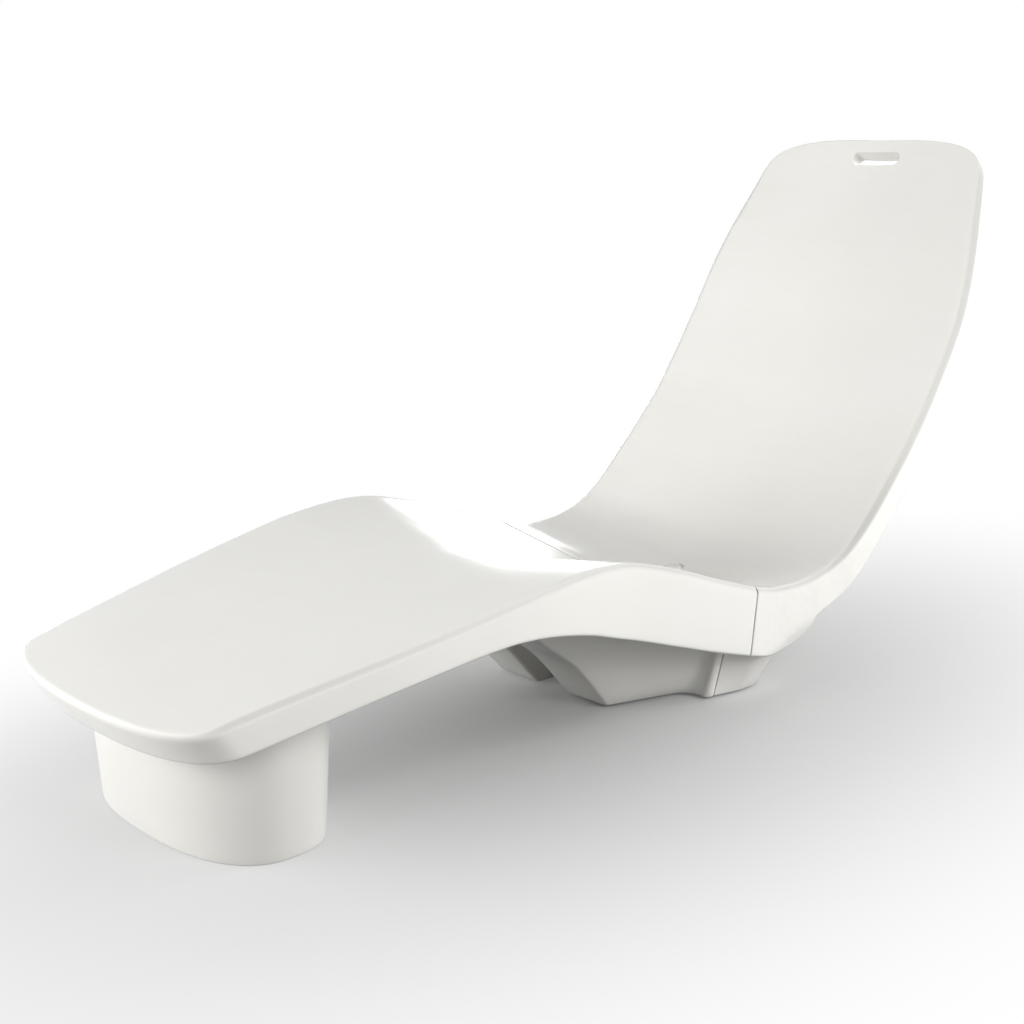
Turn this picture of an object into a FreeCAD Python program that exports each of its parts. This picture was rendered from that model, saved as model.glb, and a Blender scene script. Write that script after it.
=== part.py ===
import FreeCAD, Part
import Sketcher
import math
import os

# Spa relaxation lounger: two hollow plastic mouldings that meet in a seam across the seat.
# +X is one long side, +Y runs from the foot end to the head end, +Z is up.
# The origin is on the floor under the middle of the overall length and width.

DOC = FreeCAD.newDocument("lounger")

# Driving dimensions, in millimetres unless the name says share, power or angle
SIZES = [
    ("foot_reach", 1146.0, "seam plane to the tip of the foot end"),
    ("head_reach", 826.0, "seam plane to the rearmost point of the head"),
    ("full_height", 1009.0, "floor to the highest point of the head"),
    ("ridge_half", 339.0, "half width between the rim ridges where the back is widest"),
    ("moulding_wall", 6.0, "wall of the hollow mouldings"),
    ("rim_bevel_wide", 5.0, "bevel outside the rim ridge, across"),
    ("rim_bevel_deep", 8.5, "bevel outside the rim ridge, down"),
    ("corner_depth", 71.0, "length of the rounded corners of the foot and head ends"),
    ("seam_gap", 2.0, "gap between the two mouldings, filled by the gasket"),
    ("floor_gap", 3.0, "height of the rubber below the mouldings"),
    ("channel_half", 37.0, "half width of the channel between the front lobes"),
    ("lobe_half", 131.0, "half width over the front corners of the lobes at the floor"),
    ("lobe_rear_half", 172.0, "half width over the lobes where they meet the seam rib"),
    ("lobe_flare", 88.0, "outward flare of the lobe side over its height"),
    ("lobe_reach", 168.0, "seam plane to the front of the lobes at the floor"),
    ("lobe_high", 238.0, "height over which the lobe front sweeps forward"),
    ("lobe_sweep", 262.0, "how far the lobe front sweeps forward over its height"),
    ("rib_long", 22.0, "length of the seam rib of the front base"),
    ("rib_half", 246.0, "half width of the base at the seam, at the floor"),
    ("base_flare", 25.0, "outward flare of the base side over its height"),
    ("base_high", 110.0, "height of the base, into the underside of the seat"),
    ("rear_half", 257.0, "half width of the rear base at the floor"),
    ("rear_long", 138.0, "length of the rear base at the floor"),
    ("rear_flare", 4.0, "rearward flare of the rear base"),
    ("rear_round", 38.0, "corner radius of the rear base"),
    ("pedestal_half", 225.0, "half width of the pedestal at the floor"),
    ("pedestal_front", 1055.0, "seam plane to the front of the pedestal at the floor"),
    ("pedestal_long", 241.0, "length of the pedestal at the floor"),
    ("pedestal_flare", 16.0, "how much the pedestal widens on each side up to the rim of the leg rest"),
    ("slot_half", 59.0, "half width of the hand slot"),
    ("slot_high", 31.0, "height of the hand slot along the back"),
    ("slot_drop", 37.0, "head end to the centre of the hand slot along the back"),
    ("slot_round", 10.0, "corner radius of the hand slot"),
    ("pocket_half", 170.0, "half width of the bolt pocket in the rear base"),
    ("pocket_long", 62.0, "length of the bolt pocket"),
    ("pocket_high", 80.0, "height of the bolt pocket above the floor"),
    ("seam_bolt_high", 46.0, "height of the seam bolts above the floor"),
    ("seam_bolt_pitch", 80.0, "distance between neighbouring seam bolts"),
    ("seam_bolt_diameter", 10.0, "thread of the seam bolts"),
    ("seam_bolt_long", 28.0, "length of the seam bolts under the head"),
    ("foot_bolt_diameter", 8.0, "thread of the pedestal bolts"),
    ("foot_bolt_long", 24.0, "length of the pedestal bolts under the head"),
    ("foot_bolt_wide", 240.0, "distance across between the pedestal bolts"),
    ("foot_bolt_deep", 90.0, "distance along between the pedestal bolts"),
    ("hole_clearance", 0.5, "clearance all round a bolt in its hole"),
    ("thread_clearance", 0.05, "clearance all round a bolt in its insert"),
    ("insert_wall", 3.0, "wall of the threaded inserts"),
    ("insert_recess", 0.3, "insert set back below the face it is moulded into"),
    ("boss_wall", 6.0, "plastic around and behind an insert or a dowel"),
    ("washer_thick", 2.0, "thickness of the washers"),
    ("dowel_diameter", 16.0, "diameter of the locating dowels"),
    ("dowel_long", 34.0, "length of the locating dowels"),
    ("dowel_half", 215.0, "half distance between the locating dowels"),
    ("dowel_gap", 12.0, "clearance between the locating dowels and the gasket below them"),
    ("pad_diameter", 38.0, "diameter of the round rubber pads"),
    ("pad_recess", 2.5, "depth of the recess that holds a rubber pad"),
    ("lobe_pad_half", 96.0, "half distance between the lobe pads"),
    ("lobe_pad_reach", 112.0, "seam plane to the lobe pads"),
    ("rear_pad_half", 196.0, "half distance between the rear pads"),
    ("rear_pad_reach", 104.0, "seam plane to the rear pads"),
    ("foot_ring_wide", 9.0, "width of the rubber ring under the pedestal"),
    ("foot_ring_inset", 1.5, "ring set back from the outside of the pedestal"),
    ("drain_reach", 160.0, "seam plane to the drain in the seat"),
    ("drain_flange", 50.0, "diameter of the drain flange"),
    ("drain_flange_thick", 2.5, "thickness of the drain flange"),
    ("drain_gasket_thick", 1.5, "thickness of the flat drain gasket"),
    ("drain_tube", 32.0, "diameter of the moulded drain tube bore"),
    ("drain_sleeve_wall", 2.5, "wall of the drain sleeve"),
    ("drain_sleeve_long", 26.0, "length of the drain sleeve under its flange"),
    ("drain_recess", 4.0, "depth of the drain seat below the dished surface"),
    ("plug_cap", 38.0, "diameter of the drain plug cap"),
    ("plug_cap_thick", 2.0, "thickness of the drain plug cap at its edge"),
    ("plug_dome", 2.5, "rise of the drain plug cap"),
    ("plug_stem_long", 18.0, "length of the drain plug stem"),
    ("plug_clearance", 0.35, "clearance all round the plug stem"),
    ("plug_ring_wire", 2.0, "thickness of the plug seal"),
    ("plug_slot_deep", 1.6, "depth of the coin slot"),
    ("plug_slot_wide", 3.0, "width of the coin slot"),
    ("vent_cap", 30.0, "diameter of the vent plug flange"),
    ("vent_cap_thick", 3.0, "thickness of the vent plug flange"),
    ("vent_stem", 18.0, "diameter of the vent plug stem"),
    ("vent_stem_long", 14.0, "length of the vent plug stem"),
    ("vent_seal_thick", 1.5, "thickness of the vent plug seal"),
    ("vent_seat_deep", 1.0, "depth of the flat seat of the vent plug in the underside"),
    ("leg_vent_reach", 575.0, "seam plane to the vent plug of the leg section"),
    ("gasket_inset", 9.0, "gasket set back from the outside of the seam"),
    ("gasket_wide", 16.0, "width of the gasket strip"),
    ("cut_over", 5.0, "overrun of every cut"),
    ("bolt_head_share", 0.8, "head radius of a bolt, share of its diameter"),
    ("bolt_head_high_share", 0.6, "head height of a bolt, share of its diameter"),
    ("bolt_socket_share", 0.45, "corner radius of the hexagon socket, share of the diameter"),
    ("bolt_socket_deep_share", 0.4, "depth of the hexagon socket, share of the diameter"),
    ("dowel_end_share", 0.4, "end radius of a dowel, share of its diameter"),
    ("dowel_chamfer_share", 0.1, "chamfer length of a dowel, share of its diameter"),
    ("pad_chamfer_share", 0.33, "chamfer of a pad, share of the floor gap"),
    ("groove_low_share", 0.33, "lower edge of the seal groove, share of the stem length"),
    ("groove_wide_share", 1.3, "width of the seal groove, share of the seal thickness"),
    ("dome_out_share", 0.4, "radius of the outer step of the plug dome, share of the cap"),
    ("dome_in_share", 0.2, "radius of the inner step of the plug dome, share of the cap"),
    ("dome_out_high_share", 0.6, "height of the outer step, share of the dome"),
    ("dome_in_high_share", 0.95, "height of the inner step, share of the dome"),
    ("coin_slot_share", 0.6, "length of the coin slot, share of the cap"),
]
SIZE_NAMES = [name for name, value, meaning in SIZES]

# Shares and powers of the shape
LEAN_SHARE = 0.082
CORNER_POWER = 2.4
DISH_POWER = 1.6
TIP_SHARES = (0.004, 0.03, 0.08, 0.16, 0.28, 0.45, 0.7, 1.0)
DISH_EDGE_SHARE = 0.5
DISH_MIDDLE_SHARE = 2.0
PEDESTAL_POWER = 2.3
REAR_WIDEST_SHARE = 0.45
LOW_CORNER_SHARE = 1.45
SEAT_SIDE_SHARE = 0.975
LOBE_FLARE_POWER = 0.6
LOBE_FRONT_SHARE = 0.25

# Counts of sections, outline points and halvings
LONG_SECTIONS = 20
MIDDLE_STEPS = 24
RING_POINTS = 48
GASKET_POINTS = 160
HALVINGS = 40

SHEET = DOC.addObject("Spreadsheet::Sheet", "sizes")
for row_index, (name, value, meaning) in enumerate(SIZES):
    cell_row = str(row_index + 1)
    SHEET.set("A" + cell_row, name)
    SHEET.set("B" + cell_row, str(value))
    SHEET.set("C" + cell_row, meaning)
    SHEET.setAlias("B" + cell_row, name)
DOC.recompute()


def size(name):
    """Value of one driving dimension, read from the sheet."""
    return float(SHEET.get(name))


foot_reach = size("foot_reach")
head_reach = size("head_reach")
full_height = size("full_height")
ridge_half = size("ridge_half")
wall = size("moulding_wall")
bevel_wide = size("rim_bevel_wide")
bevel_deep = size("rim_bevel_deep")
corner_depth = size("corner_depth")
seam_half_gap = size("seam_gap") / 2
floor_gap = size("floor_gap")
over = size("cut_over")

beyond = foot_reach + head_reach

# Side profile of the leg section, one row per station from the foot tip to the seam:
# ridge distance ahead of the seam and ridge height, ridge half width, distance and height of
# the lower edge, depth of the dish, bulge of the lower face. Shares of foot_reach, full_height
# and ridge_half; the dish and the bulge are shares of full_height.
LEG_SHARES = [
    (1.0000, 0.2316, 0.7451, 0.9793, 0.1789, 0.000, 0.000),
    (0.9121, 0.2542, 0.7871, 0.9038, 0.1958, 0.003, 0.000),
    (0.7968, 0.2778, 0.8515, 0.7935, 0.2194, 0.008, 0.000),
    (0.6733, 0.3013, 0.9188, 0.6708, 0.2439, 0.012, 0.000),
    (0.5348, 0.3277, 0.9664, 0.5332, 0.2627, 0.017, 0.000),
    (0.4594, 0.3409, 0.9804, 0.4577, 0.2589, 0.019, 0.000),
    (0.3723, 0.3493, 0.9776, 0.3723, 0.2392, 0.023, 0.000),
    (0.3151, 0.3465, 0.9720, 0.3151, 0.2185, 0.025, 0.000),
    (0.2653, 0.3352, 0.9664, 0.2653, 0.2006, 0.028, 0.000),
    (0.1774, 0.3041, 0.9664, 0.1774, 0.1667, 0.036, 0.000),
    (0.0912, 0.2684, 0.9692, 0.0912, 0.1337, 0.042, 0.000),
    (0.0000, 0.2326, 0.9720, 0.0000, 0.1017, 0.045, 0.000),
]

# Side profile of the back, from the seam to the head tip: as above with head_reach for the
# distances behind the seam. The last row passes one, because the rounded end of the dish lies lower.
BACK_SHARES = [
    (0.0000, 0.2326, 0.9720, 0.0000, 0.1412, 0.045, 0.000),
    (0.0690, 0.2203, 0.9692, 0.0759, 0.1365, 0.047, 0.000),
    (0.1323, 0.2166, 0.9720, 0.1553, 0.1375, 0.047, 0.002),
    (0.1840, 0.2175, 0.9748, 0.2093, 0.1412, 0.047, 0.004),
    (0.2323, 0.2232, 0.9804, 0.2577, 0.1507, 0.046, 0.008),
    (0.3255, 0.2524, 0.9944, 0.3658, 0.1968, 0.044, 0.013),
    (0.3980, 0.2985, 1.0028, 0.4474, 0.2514, 0.041, 0.016),
    (0.4866, 0.3663, 1.0028, 0.5395, 0.3211, 0.039, 0.018),
    (0.5936, 0.4586, 0.9972, 0.6476, 0.4228, 0.035, 0.017),
    (0.6707, 0.5433, 0.9944, 0.7270, 0.5094, 0.032, 0.017),
    (0.7455, 0.6366, 0.9888, 0.7949, 0.6158, 0.029, 0.020),
    (0.7949, 0.7128, 0.9692, 0.8329, 0.6968, 0.026, 0.028),
    (0.8432, 0.7891, 0.9272, 0.8731, 0.7750, 0.024, 0.034),
    (0.8846, 0.8503, 0.8796, 0.9122, 0.8399, 0.022, 0.036),
    (0.9306, 0.9171, 0.8263, 0.9537, 0.9068, 0.020, 0.037),
    (0.9886, 1.0095, 0.7588, 1.0059, 1.0001, 0.018, 0.037),
]

# Thick seat body behind the seam: distance behind the seam as a share of head_reach, upper
# and lower height as shares of full_height, set-back of the side as a share of ridge_half
HIP_SHARES = [
    (0.0000, 0.1500, 0.1017, 0.003),
    (0.0690, 0.1500, 0.0900, 0.003),
    (0.1323, 0.1520, 0.0857, 0.004),
    (0.1725, 0.1560, 0.0904, 0.006),
    (0.2093, 0.1600, 0.1026, 0.012),
    (0.2358, 0.1650, 0.1177, 0.025),
    (0.2553, 0.1700, 0.1375, 0.050),
    (0.2668, 0.1750, 0.1554, 0.085),
]

# Front of a lobe: height share and the share of the forward sweep reached there
LOBE_SHARES = [(0.0, 0.0), (0.13, 0.08), (0.28, 0.18), (0.45, 0.36), (0.57, 0.48), (0.7, 0.68),
               (1.0, 1.0)]


def spline(positions, values, where):
    """Cubic through given points with slopes taken from the neighbours."""
    last = len(positions) - 1
    index = 0
    while index < last - 1 and where > positions[index + 1]:
        index += 1

    def slope(at):
        before = max(at - 1, 0)
        after = min(at + 1, last)
        return (values[after] - values[before]) / (positions[after] - positions[before])

    span = positions[index + 1] - positions[index]
    part = (where - positions[index]) / span
    start, end = values[index], values[index + 1]
    bend = (start * (1 + 2 * part) + slope(index) * span * part) * (1 - part) ** 2
    return bend + (end * (3 - 2 * part) - slope(index + 1) * span * (1 - part)) * part ** 2


def corner_share(part):
    """Share of the full width reached part of the way along a rounded corner."""
    rest = max(1 - part, 0)
    return (1 - rest ** CORNER_POWER) ** (1 / CORNER_POWER)


class Profile:
    """Long side profile with its widths, addressed by the distance from the tip along the ridge."""

    def __init__(self, shares, reach, sign, tip_last, start_y):
        rows = []
        for ahead, ridge, half, low_ahead, low, dish, bulge in shares:
            rows.append((start_y + sign * ahead * reach, ridge * full_height, half * ridge_half,
                         start_y + sign * low_ahead * reach, low * full_height, dish * full_height,
                         bulge * full_height))
        if tip_last:
            rows.reverse()
        self.stations = [0.0]
        for one, two in zip(rows, rows[1:]):
            self.stations.append(self.stations[-1] + math.hypot(two[0] - one[0], two[1] - one[1]))
        self.columns = list(zip(*rows))
        self.length = self.stations[-1]

    def row(self, where):
        """Ridge y and z, half width, lower y and z, dish and bulge at a distance from the tip."""
        return [spline(self.stations, column, where) for column in self.columns]

    def section(self, where, inset):
        """Closed outline across the moulding, in the plane of the ridge and the lower edge."""
        ridge_y, ridge_z, half, low_y, low_z, dish, bulge = self.row(where)
        depth = corner_depth - inset
        left = where - inset
        half -= inset
        narrow_share = corner_share(left / depth)
        low_narrow_share = corner_share(left / (depth * LOW_CORNER_SHARE))
        edge_share = 1 - narrow_share ** DISH_POWER
        thick = math.hypot(low_y - ridge_y, low_z - ridge_z)
        along_y = (low_y - ridge_y) / thick
        along_z = (low_z - ridge_z) / thick
        bevel_share = (thick - 2 * inset) / thick

        def point(across, down):
            return FreeCAD.Vector(across, ridge_y + along_y * down, ridge_z + along_z * down)

        bottom = thick - inset
        bevel_down = inset + bevel_deep * bevel_share
        bevel_half = half * narrow_share + bevel_wide * bevel_share
        low_half = half * low_narrow_share + bevel_wide * bevel_share - LEAN_SHARE * (bottom - bevel_down)
        half *= narrow_share

        def bow(reach, down, sag):
            rest = sag * (1 - edge_share)
            curve = Part.BezierCurve()
            curve.setPoles([point(-reach, down), point(-reach / 2, down + DISH_EDGE_SHARE * rest),
                            point(0, down + DISH_MIDDLE_SHARE * rest),
                            point(reach / 2, down + DISH_EDGE_SHARE * rest), point(reach, down)])
            return curve.toShape()

        top = inset + dish * edge_share
        bevel_down += dish * edge_share
        bottom += bulge * edge_share
        right = [point(half, top), point(bevel_half, bevel_down), point(low_half, bottom)]
        left = [point(-low_half, bottom), point(-bevel_half, bevel_down), point(-half, top)]
        edges = [bow(half, top, dish)]
        edges += [Part.makeLine(one, two) for one, two in zip(right, right[1:])]
        edges.append(bow(low_half, bottom, bulge))
        edges += [Part.makeLine(one, two) for one, two in zip(left, left[1:])]
        return Part.Wire(Part.sortEdges(edges)[0])

    def solid(self, inset):
        """Rounded tip and smooth length, drawn in by the inset on every side."""
        depth = corner_depth - inset
        tip_places = [inset + depth * share for share in TIP_SHARES]
        long_places = [corner_depth + (self.length - corner_depth) * share for share in spread(LONG_SECTIONS)]
        tip = Part.makeLoft([self.section(place, inset) for place in tip_places], True, True)
        rest = Part.makeLoft([self.section(place, inset) for place in long_places], True, False)
        return tip.fuse(rest)

    def rearmost(self):
        """Largest y reached by the bulging lower face in the middle plane."""
        reached = []
        for share in spread(MIDDLE_STEPS):
            ridge_y, ridge_z, half, low_y, low_z, dish, bulge = self.row(self.length * share)
            thick = math.hypot(low_y - ridge_y, low_z - ridge_z)
            reached.append(low_y + (low_y - ridge_y) / thick * bulge)
        return max(reached)

    def middle_prism(self):
        """Everything below the middle of the thickness, as a prism across the full width."""
        steps = [self.length * share for share in spread(MIDDLE_STEPS)]
        points = []
        for step in steps:
            ridge_y, ridge_z, half, low_y, low_z, dish, bulge = self.row(step)
            points.append(FreeCAD.Vector(-beyond, (ridge_y + low_y) / 2, (ridge_z - dish + low_z) / 2))
        points.append(FreeCAD.Vector(-beyond, points[-1].y, -over))
        points.append(FreeCAD.Vector(-beyond, points[0].y, -over))
        face = Part.Face(Part.makePolygon(points + [points[0]]))
        return face.extrude(FreeCAD.Vector(2 * beyond, 0, 0))


def spread(count):
    """Evenly spread shares from nought to one."""
    return [index / (count - 1) for index in range(count)]


def box(x_low, x_high, y_low, y_high, z_low, z_high):
    """Block between two corners."""
    return Part.makeBox(x_high - x_low, y_high - y_low, z_high - z_low, FreeCAD.Vector(x_low, y_low, z_low))


def rod(radius, length, start, direction):
    """Cylinder from a start point along a direction."""
    return Part.makeCylinder(radius, length, start, direction)


def polygon_loft(levels):
    """Solid through polygons that all have the same number of corners."""
    wires = [Part.makePolygon(level + [level[0]]) for level in levels]
    return Part.makeLoft(wires, True, True)


def super_ring(half_x, front_y, long_y, height, power):
    """Closed smooth outline of a superellipse at one height."""
    points = []
    middle = front_y + long_y / 2
    for index in range(RING_POINTS):
        angle = 2 * math.pi * index / RING_POINTS
        across = math.copysign(abs(math.cos(angle)) ** (2 / power), math.cos(angle))
        along = math.copysign(abs(math.sin(angle)) ** (2 / power), math.sin(angle))
        points.append(FreeCAD.Vector(half_x * across, middle + long_y / 2 * along, height))
    curve = Part.BSplineCurve()
    curve.interpolate(Points=points, PeriodicFlag=True)
    return Part.Wire([curve.toShape()])


def rounded_slab(seam_half, half_x, y_low, y_high, radius, height):
    """Outline that widens from the seam and has two rounded rear corners."""
    turn = math.sqrt(0.5) * radius
    y_wide = y_low + REAR_WIDEST_SHARE * (y_high - y_low)
    quarter = [(seam_half, y_low), (half_x, y_wide), (half_x, y_high - radius),
               (half_x - radius + turn, y_high - radius + turn), (half_x - radius, y_high)]
    right = [FreeCAD.Vector(x, y, height) for x, y in quarter]
    left = [FreeCAD.Vector(-x, y, height) for x, y in quarter]
    edges = [Part.makeLine(left[0], right[0]), Part.makeLine(right[0], right[1]),
             Part.makeLine(right[1], right[2]), Part.Arc(right[2], right[3], right[4]).toShape(),
             Part.makeLine(right[4], left[4]), Part.Arc(left[4], left[3], left[2]).toShape(),
             Part.makeLine(left[2], left[1]), Part.makeLine(left[1], left[0])]
    return Part.Wire(edges)


def feature(label, shape):
    """Document object that holds a finished shape."""
    item = DOC.addObject("Part::Feature", label)
    item.Label = label
    item.Shape = shape
    item.Placement = FreeCAD.Placement()
    return item


def union(shapes):
    """One solid out of overlapping ones."""
    return shapes[0].multiFuse(shapes[1:]).removeSplitter()


# The seam plane lies off the origin, so that the overall length is centred
seam_y = (foot_reach - Profile(BACK_SHARES, head_reach, 1, True, 0).rearmost()) / 2
LEG = Profile(LEG_SHARES, foot_reach, -1, False, seam_y)
BACK = Profile(BACK_SHARES, head_reach, 1, True, seam_y)


# Front base: two lobes with a channel between them, and a rib along the seam
def lobe(side, inset):
    """One lobe under the front of the seat; its front sweeps up and forward."""
    channel = size("channel_half") + inset
    levels = []
    for height_share, sweep_share in LOBE_SHARES:
        height = floor_gap + inset + height_share * (size("lobe_high") - inset)
        front = seam_y - size("lobe_reach") - sweep_share * size("lobe_sweep") + inset
        flare = height_share ** LOBE_FLARE_POWER * size("lobe_flare")
        rear_half = size("lobe_rear_half") + flare - inset
        front_half = size("lobe_half") + flare * LOBE_FRONT_SHARE - inset
        rear = seam_y - size("rib_long") + over - inset
        corners = [(channel, front), (front_half, front), (rear_half, rear), (channel, rear)]
        levels.append([FreeCAD.Vector(side * x, y, height) for x, y in corners])
    return polygon_loft(levels)


def seam_rib(inset):
    """Plate along the seam that carries the joint of the front base."""
    top = size("base_high") + wall
    flare = size("base_flare") * top / size("base_high")
    low_half = size("rib_half") - inset
    levels = []
    for height, half in ((floor_gap + inset, low_half), (top, low_half + flare)):
        front = seam_y - size("rib_long") + inset
        rear = seam_y + over
        corners = [(-half, front), (half, front), (half, rear), (-half, rear)]
        levels.append([FreeCAD.Vector(x, y, height) for x, y in corners])
    return polygon_loft(levels)


def seat_body(inset):
    """Thick body behind the seam with the rounded hip bulge at its rear."""
    sections = []
    for index, (ahead, high, low, set_back) in enumerate(HIP_SHARES):
        y_here = seam_y + ahead * head_reach
        if index == len(HIP_SHARES) - 1:
            y_here -= inset
        ridge_z = BACK.row(BACK.length - ahead * head_reach)[1]
        side = ridge_half * (SEAT_SIDE_SHARE - set_back) + bevel_wide - inset
        top_z = high * full_height
        low_z = low * full_height + inset
        top_half = side - LEAN_SHARE * (ridge_z - top_z)
        low_half = side - LEAN_SHARE * (ridge_z - low_z)
        sections.append([FreeCAD.Vector(-low_half, y_here, low_z), FreeCAD.Vector(low_half, y_here, low_z),
                         FreeCAD.Vector(top_half, y_here, top_z), FreeCAD.Vector(-top_half, y_here, top_z)])
    return polygon_loft(sections)


def rear_base(inset):
    """Base under the rear of the seat, widening upwards."""
    top = size("base_high") + 2 * wall
    flare = size("base_flare") * top / size("base_high")
    half = size("rear_half") - inset
    rear = seam_y + size("rear_long") - inset
    seam_half = size("rib_half") - inset
    corner = size("rear_round") - inset
    lower = rounded_slab(seam_half, half, seam_y, rear, corner, floor_gap + inset)
    upper = rounded_slab(seam_half + flare, half + flare, seam_y, rear + size("rear_flare"), corner, top)
    return Part.makeLoft([lower, upper], True, True)


# Bolts, inserts and dowels of the seam
seam_bolt_x = [size("seam_bolt_pitch") * step for step in (-1.5, -0.5, 0.5, 1.5)]
seam_bolt_z = floor_gap + size("seam_bolt_high")
seam_bolt_radius = size("seam_bolt_diameter") / 2
insert_radius = seam_bolt_radius + size("insert_wall")
insert_long = size("seam_bolt_long") - wall
foot_bolt_radius = size("foot_bolt_diameter") / 2
foot_insert_radius = foot_bolt_radius + size("insert_wall")
foot_insert_long = size("foot_bolt_long") - wall
dowel_radius = size("dowel_diameter") / 2
gasket_high = LEG.row(LEG.length)[4] + size("gasket_inset") + size("gasket_wide")
dowel_z = gasket_high + size("dowel_gap") + dowel_radius
boss_wall = size("boss_wall")
ALONG = FreeCAD.Vector(0, 1, 0)
AGAINST = FreeCAD.Vector(0, -1, 0)
UP = FreeCAD.Vector(0, 0, 1)
DOWN = FreeCAD.Vector(0, 0, -1)
front_face_y = seam_y - seam_half_gap
rear_face_y = seam_y + seam_half_gap

# Pedestal: its bolts stand square to the sloping underside of the leg rest
pedestal_front_y = seam_y - size("pedestal_front")
pedestal_middle_y = pedestal_front_y + size("pedestal_long") / 2


def leg_row_at(y_here):
    """Row of the leg profile whose lower edge lies at a given y."""
    low, high = 0.0, LEG.length
    for step in range(HALVINGS):
        middle = (low + high) / 2
        if LEG.row(middle)[3] < y_here:
            low = middle
        else:
            high = middle
    return LEG.row(low)


def underside_place(x_here, y_here):
    """Point on the underside of the leg rest and the direction straight into it."""
    reach = wall
    before = leg_row_at(y_here - reach)
    after = leg_row_at(y_here + reach)
    slope_y = after[3] - before[3]
    slope_z = after[4] - before[4]
    length = math.hypot(slope_y, slope_z)
    inward = FreeCAD.Vector(0, -slope_z / length, slope_y / length)
    return FreeCAD.Vector(x_here, y_here, leg_row_at(y_here)[4]), inward


foot_bolt_places = []
for side_x in (-0.5, 0.5):
    for side_y in (-0.5, 0.5):
        foot_bolt_places.append(underside_place(side_x * size("foot_bolt_wide"),
                                                pedestal_middle_y + side_y * size("foot_bolt_deep")))
vent_point, vent_inward = underside_place(0, seam_y - size("leg_vent_reach"))
leg_vent_place = (vent_point + vent_inward * size("vent_seat_deep"), vent_inward)
back_vent_place = (FreeCAD.Vector(0, rear_face_y + wall + size("pocket_long") / 2,
                                  floor_gap + size("pocket_high")), UP)
vent_hole_radius = size("vent_stem") / 2 + size("hole_clearance")

# Drain in the lowest part of the seat
drain_y = seam_y + size("drain_reach")


def back_row_at(y_here):
    """Row of the back profile whose ridge lies at a given y."""
    low, high = 0.0, BACK.length
    for step in range(HALVINGS):
        middle = (low + high) / 2
        if BACK.row(middle)[0] > y_here:
            low = middle
        else:
            high = middle
    return BACK.row(low)


drain_row = back_row_at(drain_y)
seat_z = drain_row[1] - drain_row[5]
drain_floor_z = seat_z - size("drain_recess")
drain_flange_radius = size("drain_flange") / 2
drain_bore_radius = size("drain_tube") / 2


def leg_section():
    """Front moulding: leg rest, front of the seat and front base."""
    below = LEG.middle_prism()
    seam_cut = box(-beyond, beyond, front_face_y, seam_y + beyond, -beyond, beyond)
    outer = union([LEG.solid(0)] + [part.common(below) for part in (lobe(1, 0), lobe(-1, 0), seam_rib(0))])
    outer = outer.cut(seam_cut)
    inner_parts = [part.common(below) for part in (lobe(1, wall), lobe(-1, wall), seam_rib(wall))]
    inner = union([LEG.solid(wall)] + inner_parts)
    inner = inner.cut(seam_cut.translated(FreeCAD.Vector(0, -wall, 0)))
    bosses = []
    holes = []
    for x_here in seam_bolt_x:
        start = FreeCAD.Vector(x_here, front_face_y, seam_bolt_z)
        bosses.append(rod(insert_radius + boss_wall, insert_long + boss_wall, start, AGAINST))
        holes.append(rod(insert_radius, insert_long, start, AGAINST))
    for side in (-1, 1):
        start = FreeCAD.Vector(side * size("dowel_half"), front_face_y, dowel_z)
        depth = size("dowel_long") / 2
        bosses.append(rod(dowel_radius + boss_wall, depth + boss_wall, start, AGAINST))
        holes.append(rod(dowel_radius, depth, start, AGAINST))
        pad_start = FreeCAD.Vector(side * size("lobe_pad_half"), seam_y - size("lobe_pad_reach"), floor_gap)
        holes.append(rod(size("pad_diameter") / 2, size("pad_recess"), pad_start, UP))
    for start, inward in foot_bolt_places:
        bosses.append(rod(foot_insert_radius + boss_wall, foot_insert_long + boss_wall, start, inward))
        holes.append(rod(foot_insert_radius, foot_insert_long, start, inward))
    shell = outer.cut(inner.cut(Part.makeCompound(bosses)))
    vent_start, inward = leg_vent_place
    holes.append(rod(vent_hole_radius, wall + 2 * over, vent_start - inward * over, inward))
    holes.append(rod(size("vent_cap") / 2 + size("hole_clearance"), over, vent_start - inward * over, inward))
    for hole in holes:
        shell = shell.cut(hole)
    return shell


def slot_block(grow):
    """Rounded block through the head, square to the back."""
    row = BACK.row(size("slot_drop"))
    before = BACK.row(size("slot_drop") + wall)
    centre = FreeCAD.Vector(0, row[0], row[1])
    toward_tip = FreeCAD.Vector(0, row[0] - before[0], row[1] - before[1]).normalize()
    through = toward_tip.cross(FreeCAD.Vector(1, 0, 0)).normalize()
    half = size("slot_half") + grow
    high = size("slot_high") + 2 * grow
    block = box(-half, half, -high / 2, high / 2, -2 * half, 2 * half)
    uprights = [edge for edge in block.Edges if abs(edge.tangentAt(edge.FirstParameter).z) > LEAN_SHARE]
    block = block.makeFillet(size("slot_round") + grow, uprights)
    turn = FreeCAD.Rotation(FreeCAD.Vector(1, 0, 0), toward_tip, through, "XYZ")
    block.Placement = FreeCAD.Placement(centre, turn)
    return block


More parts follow.
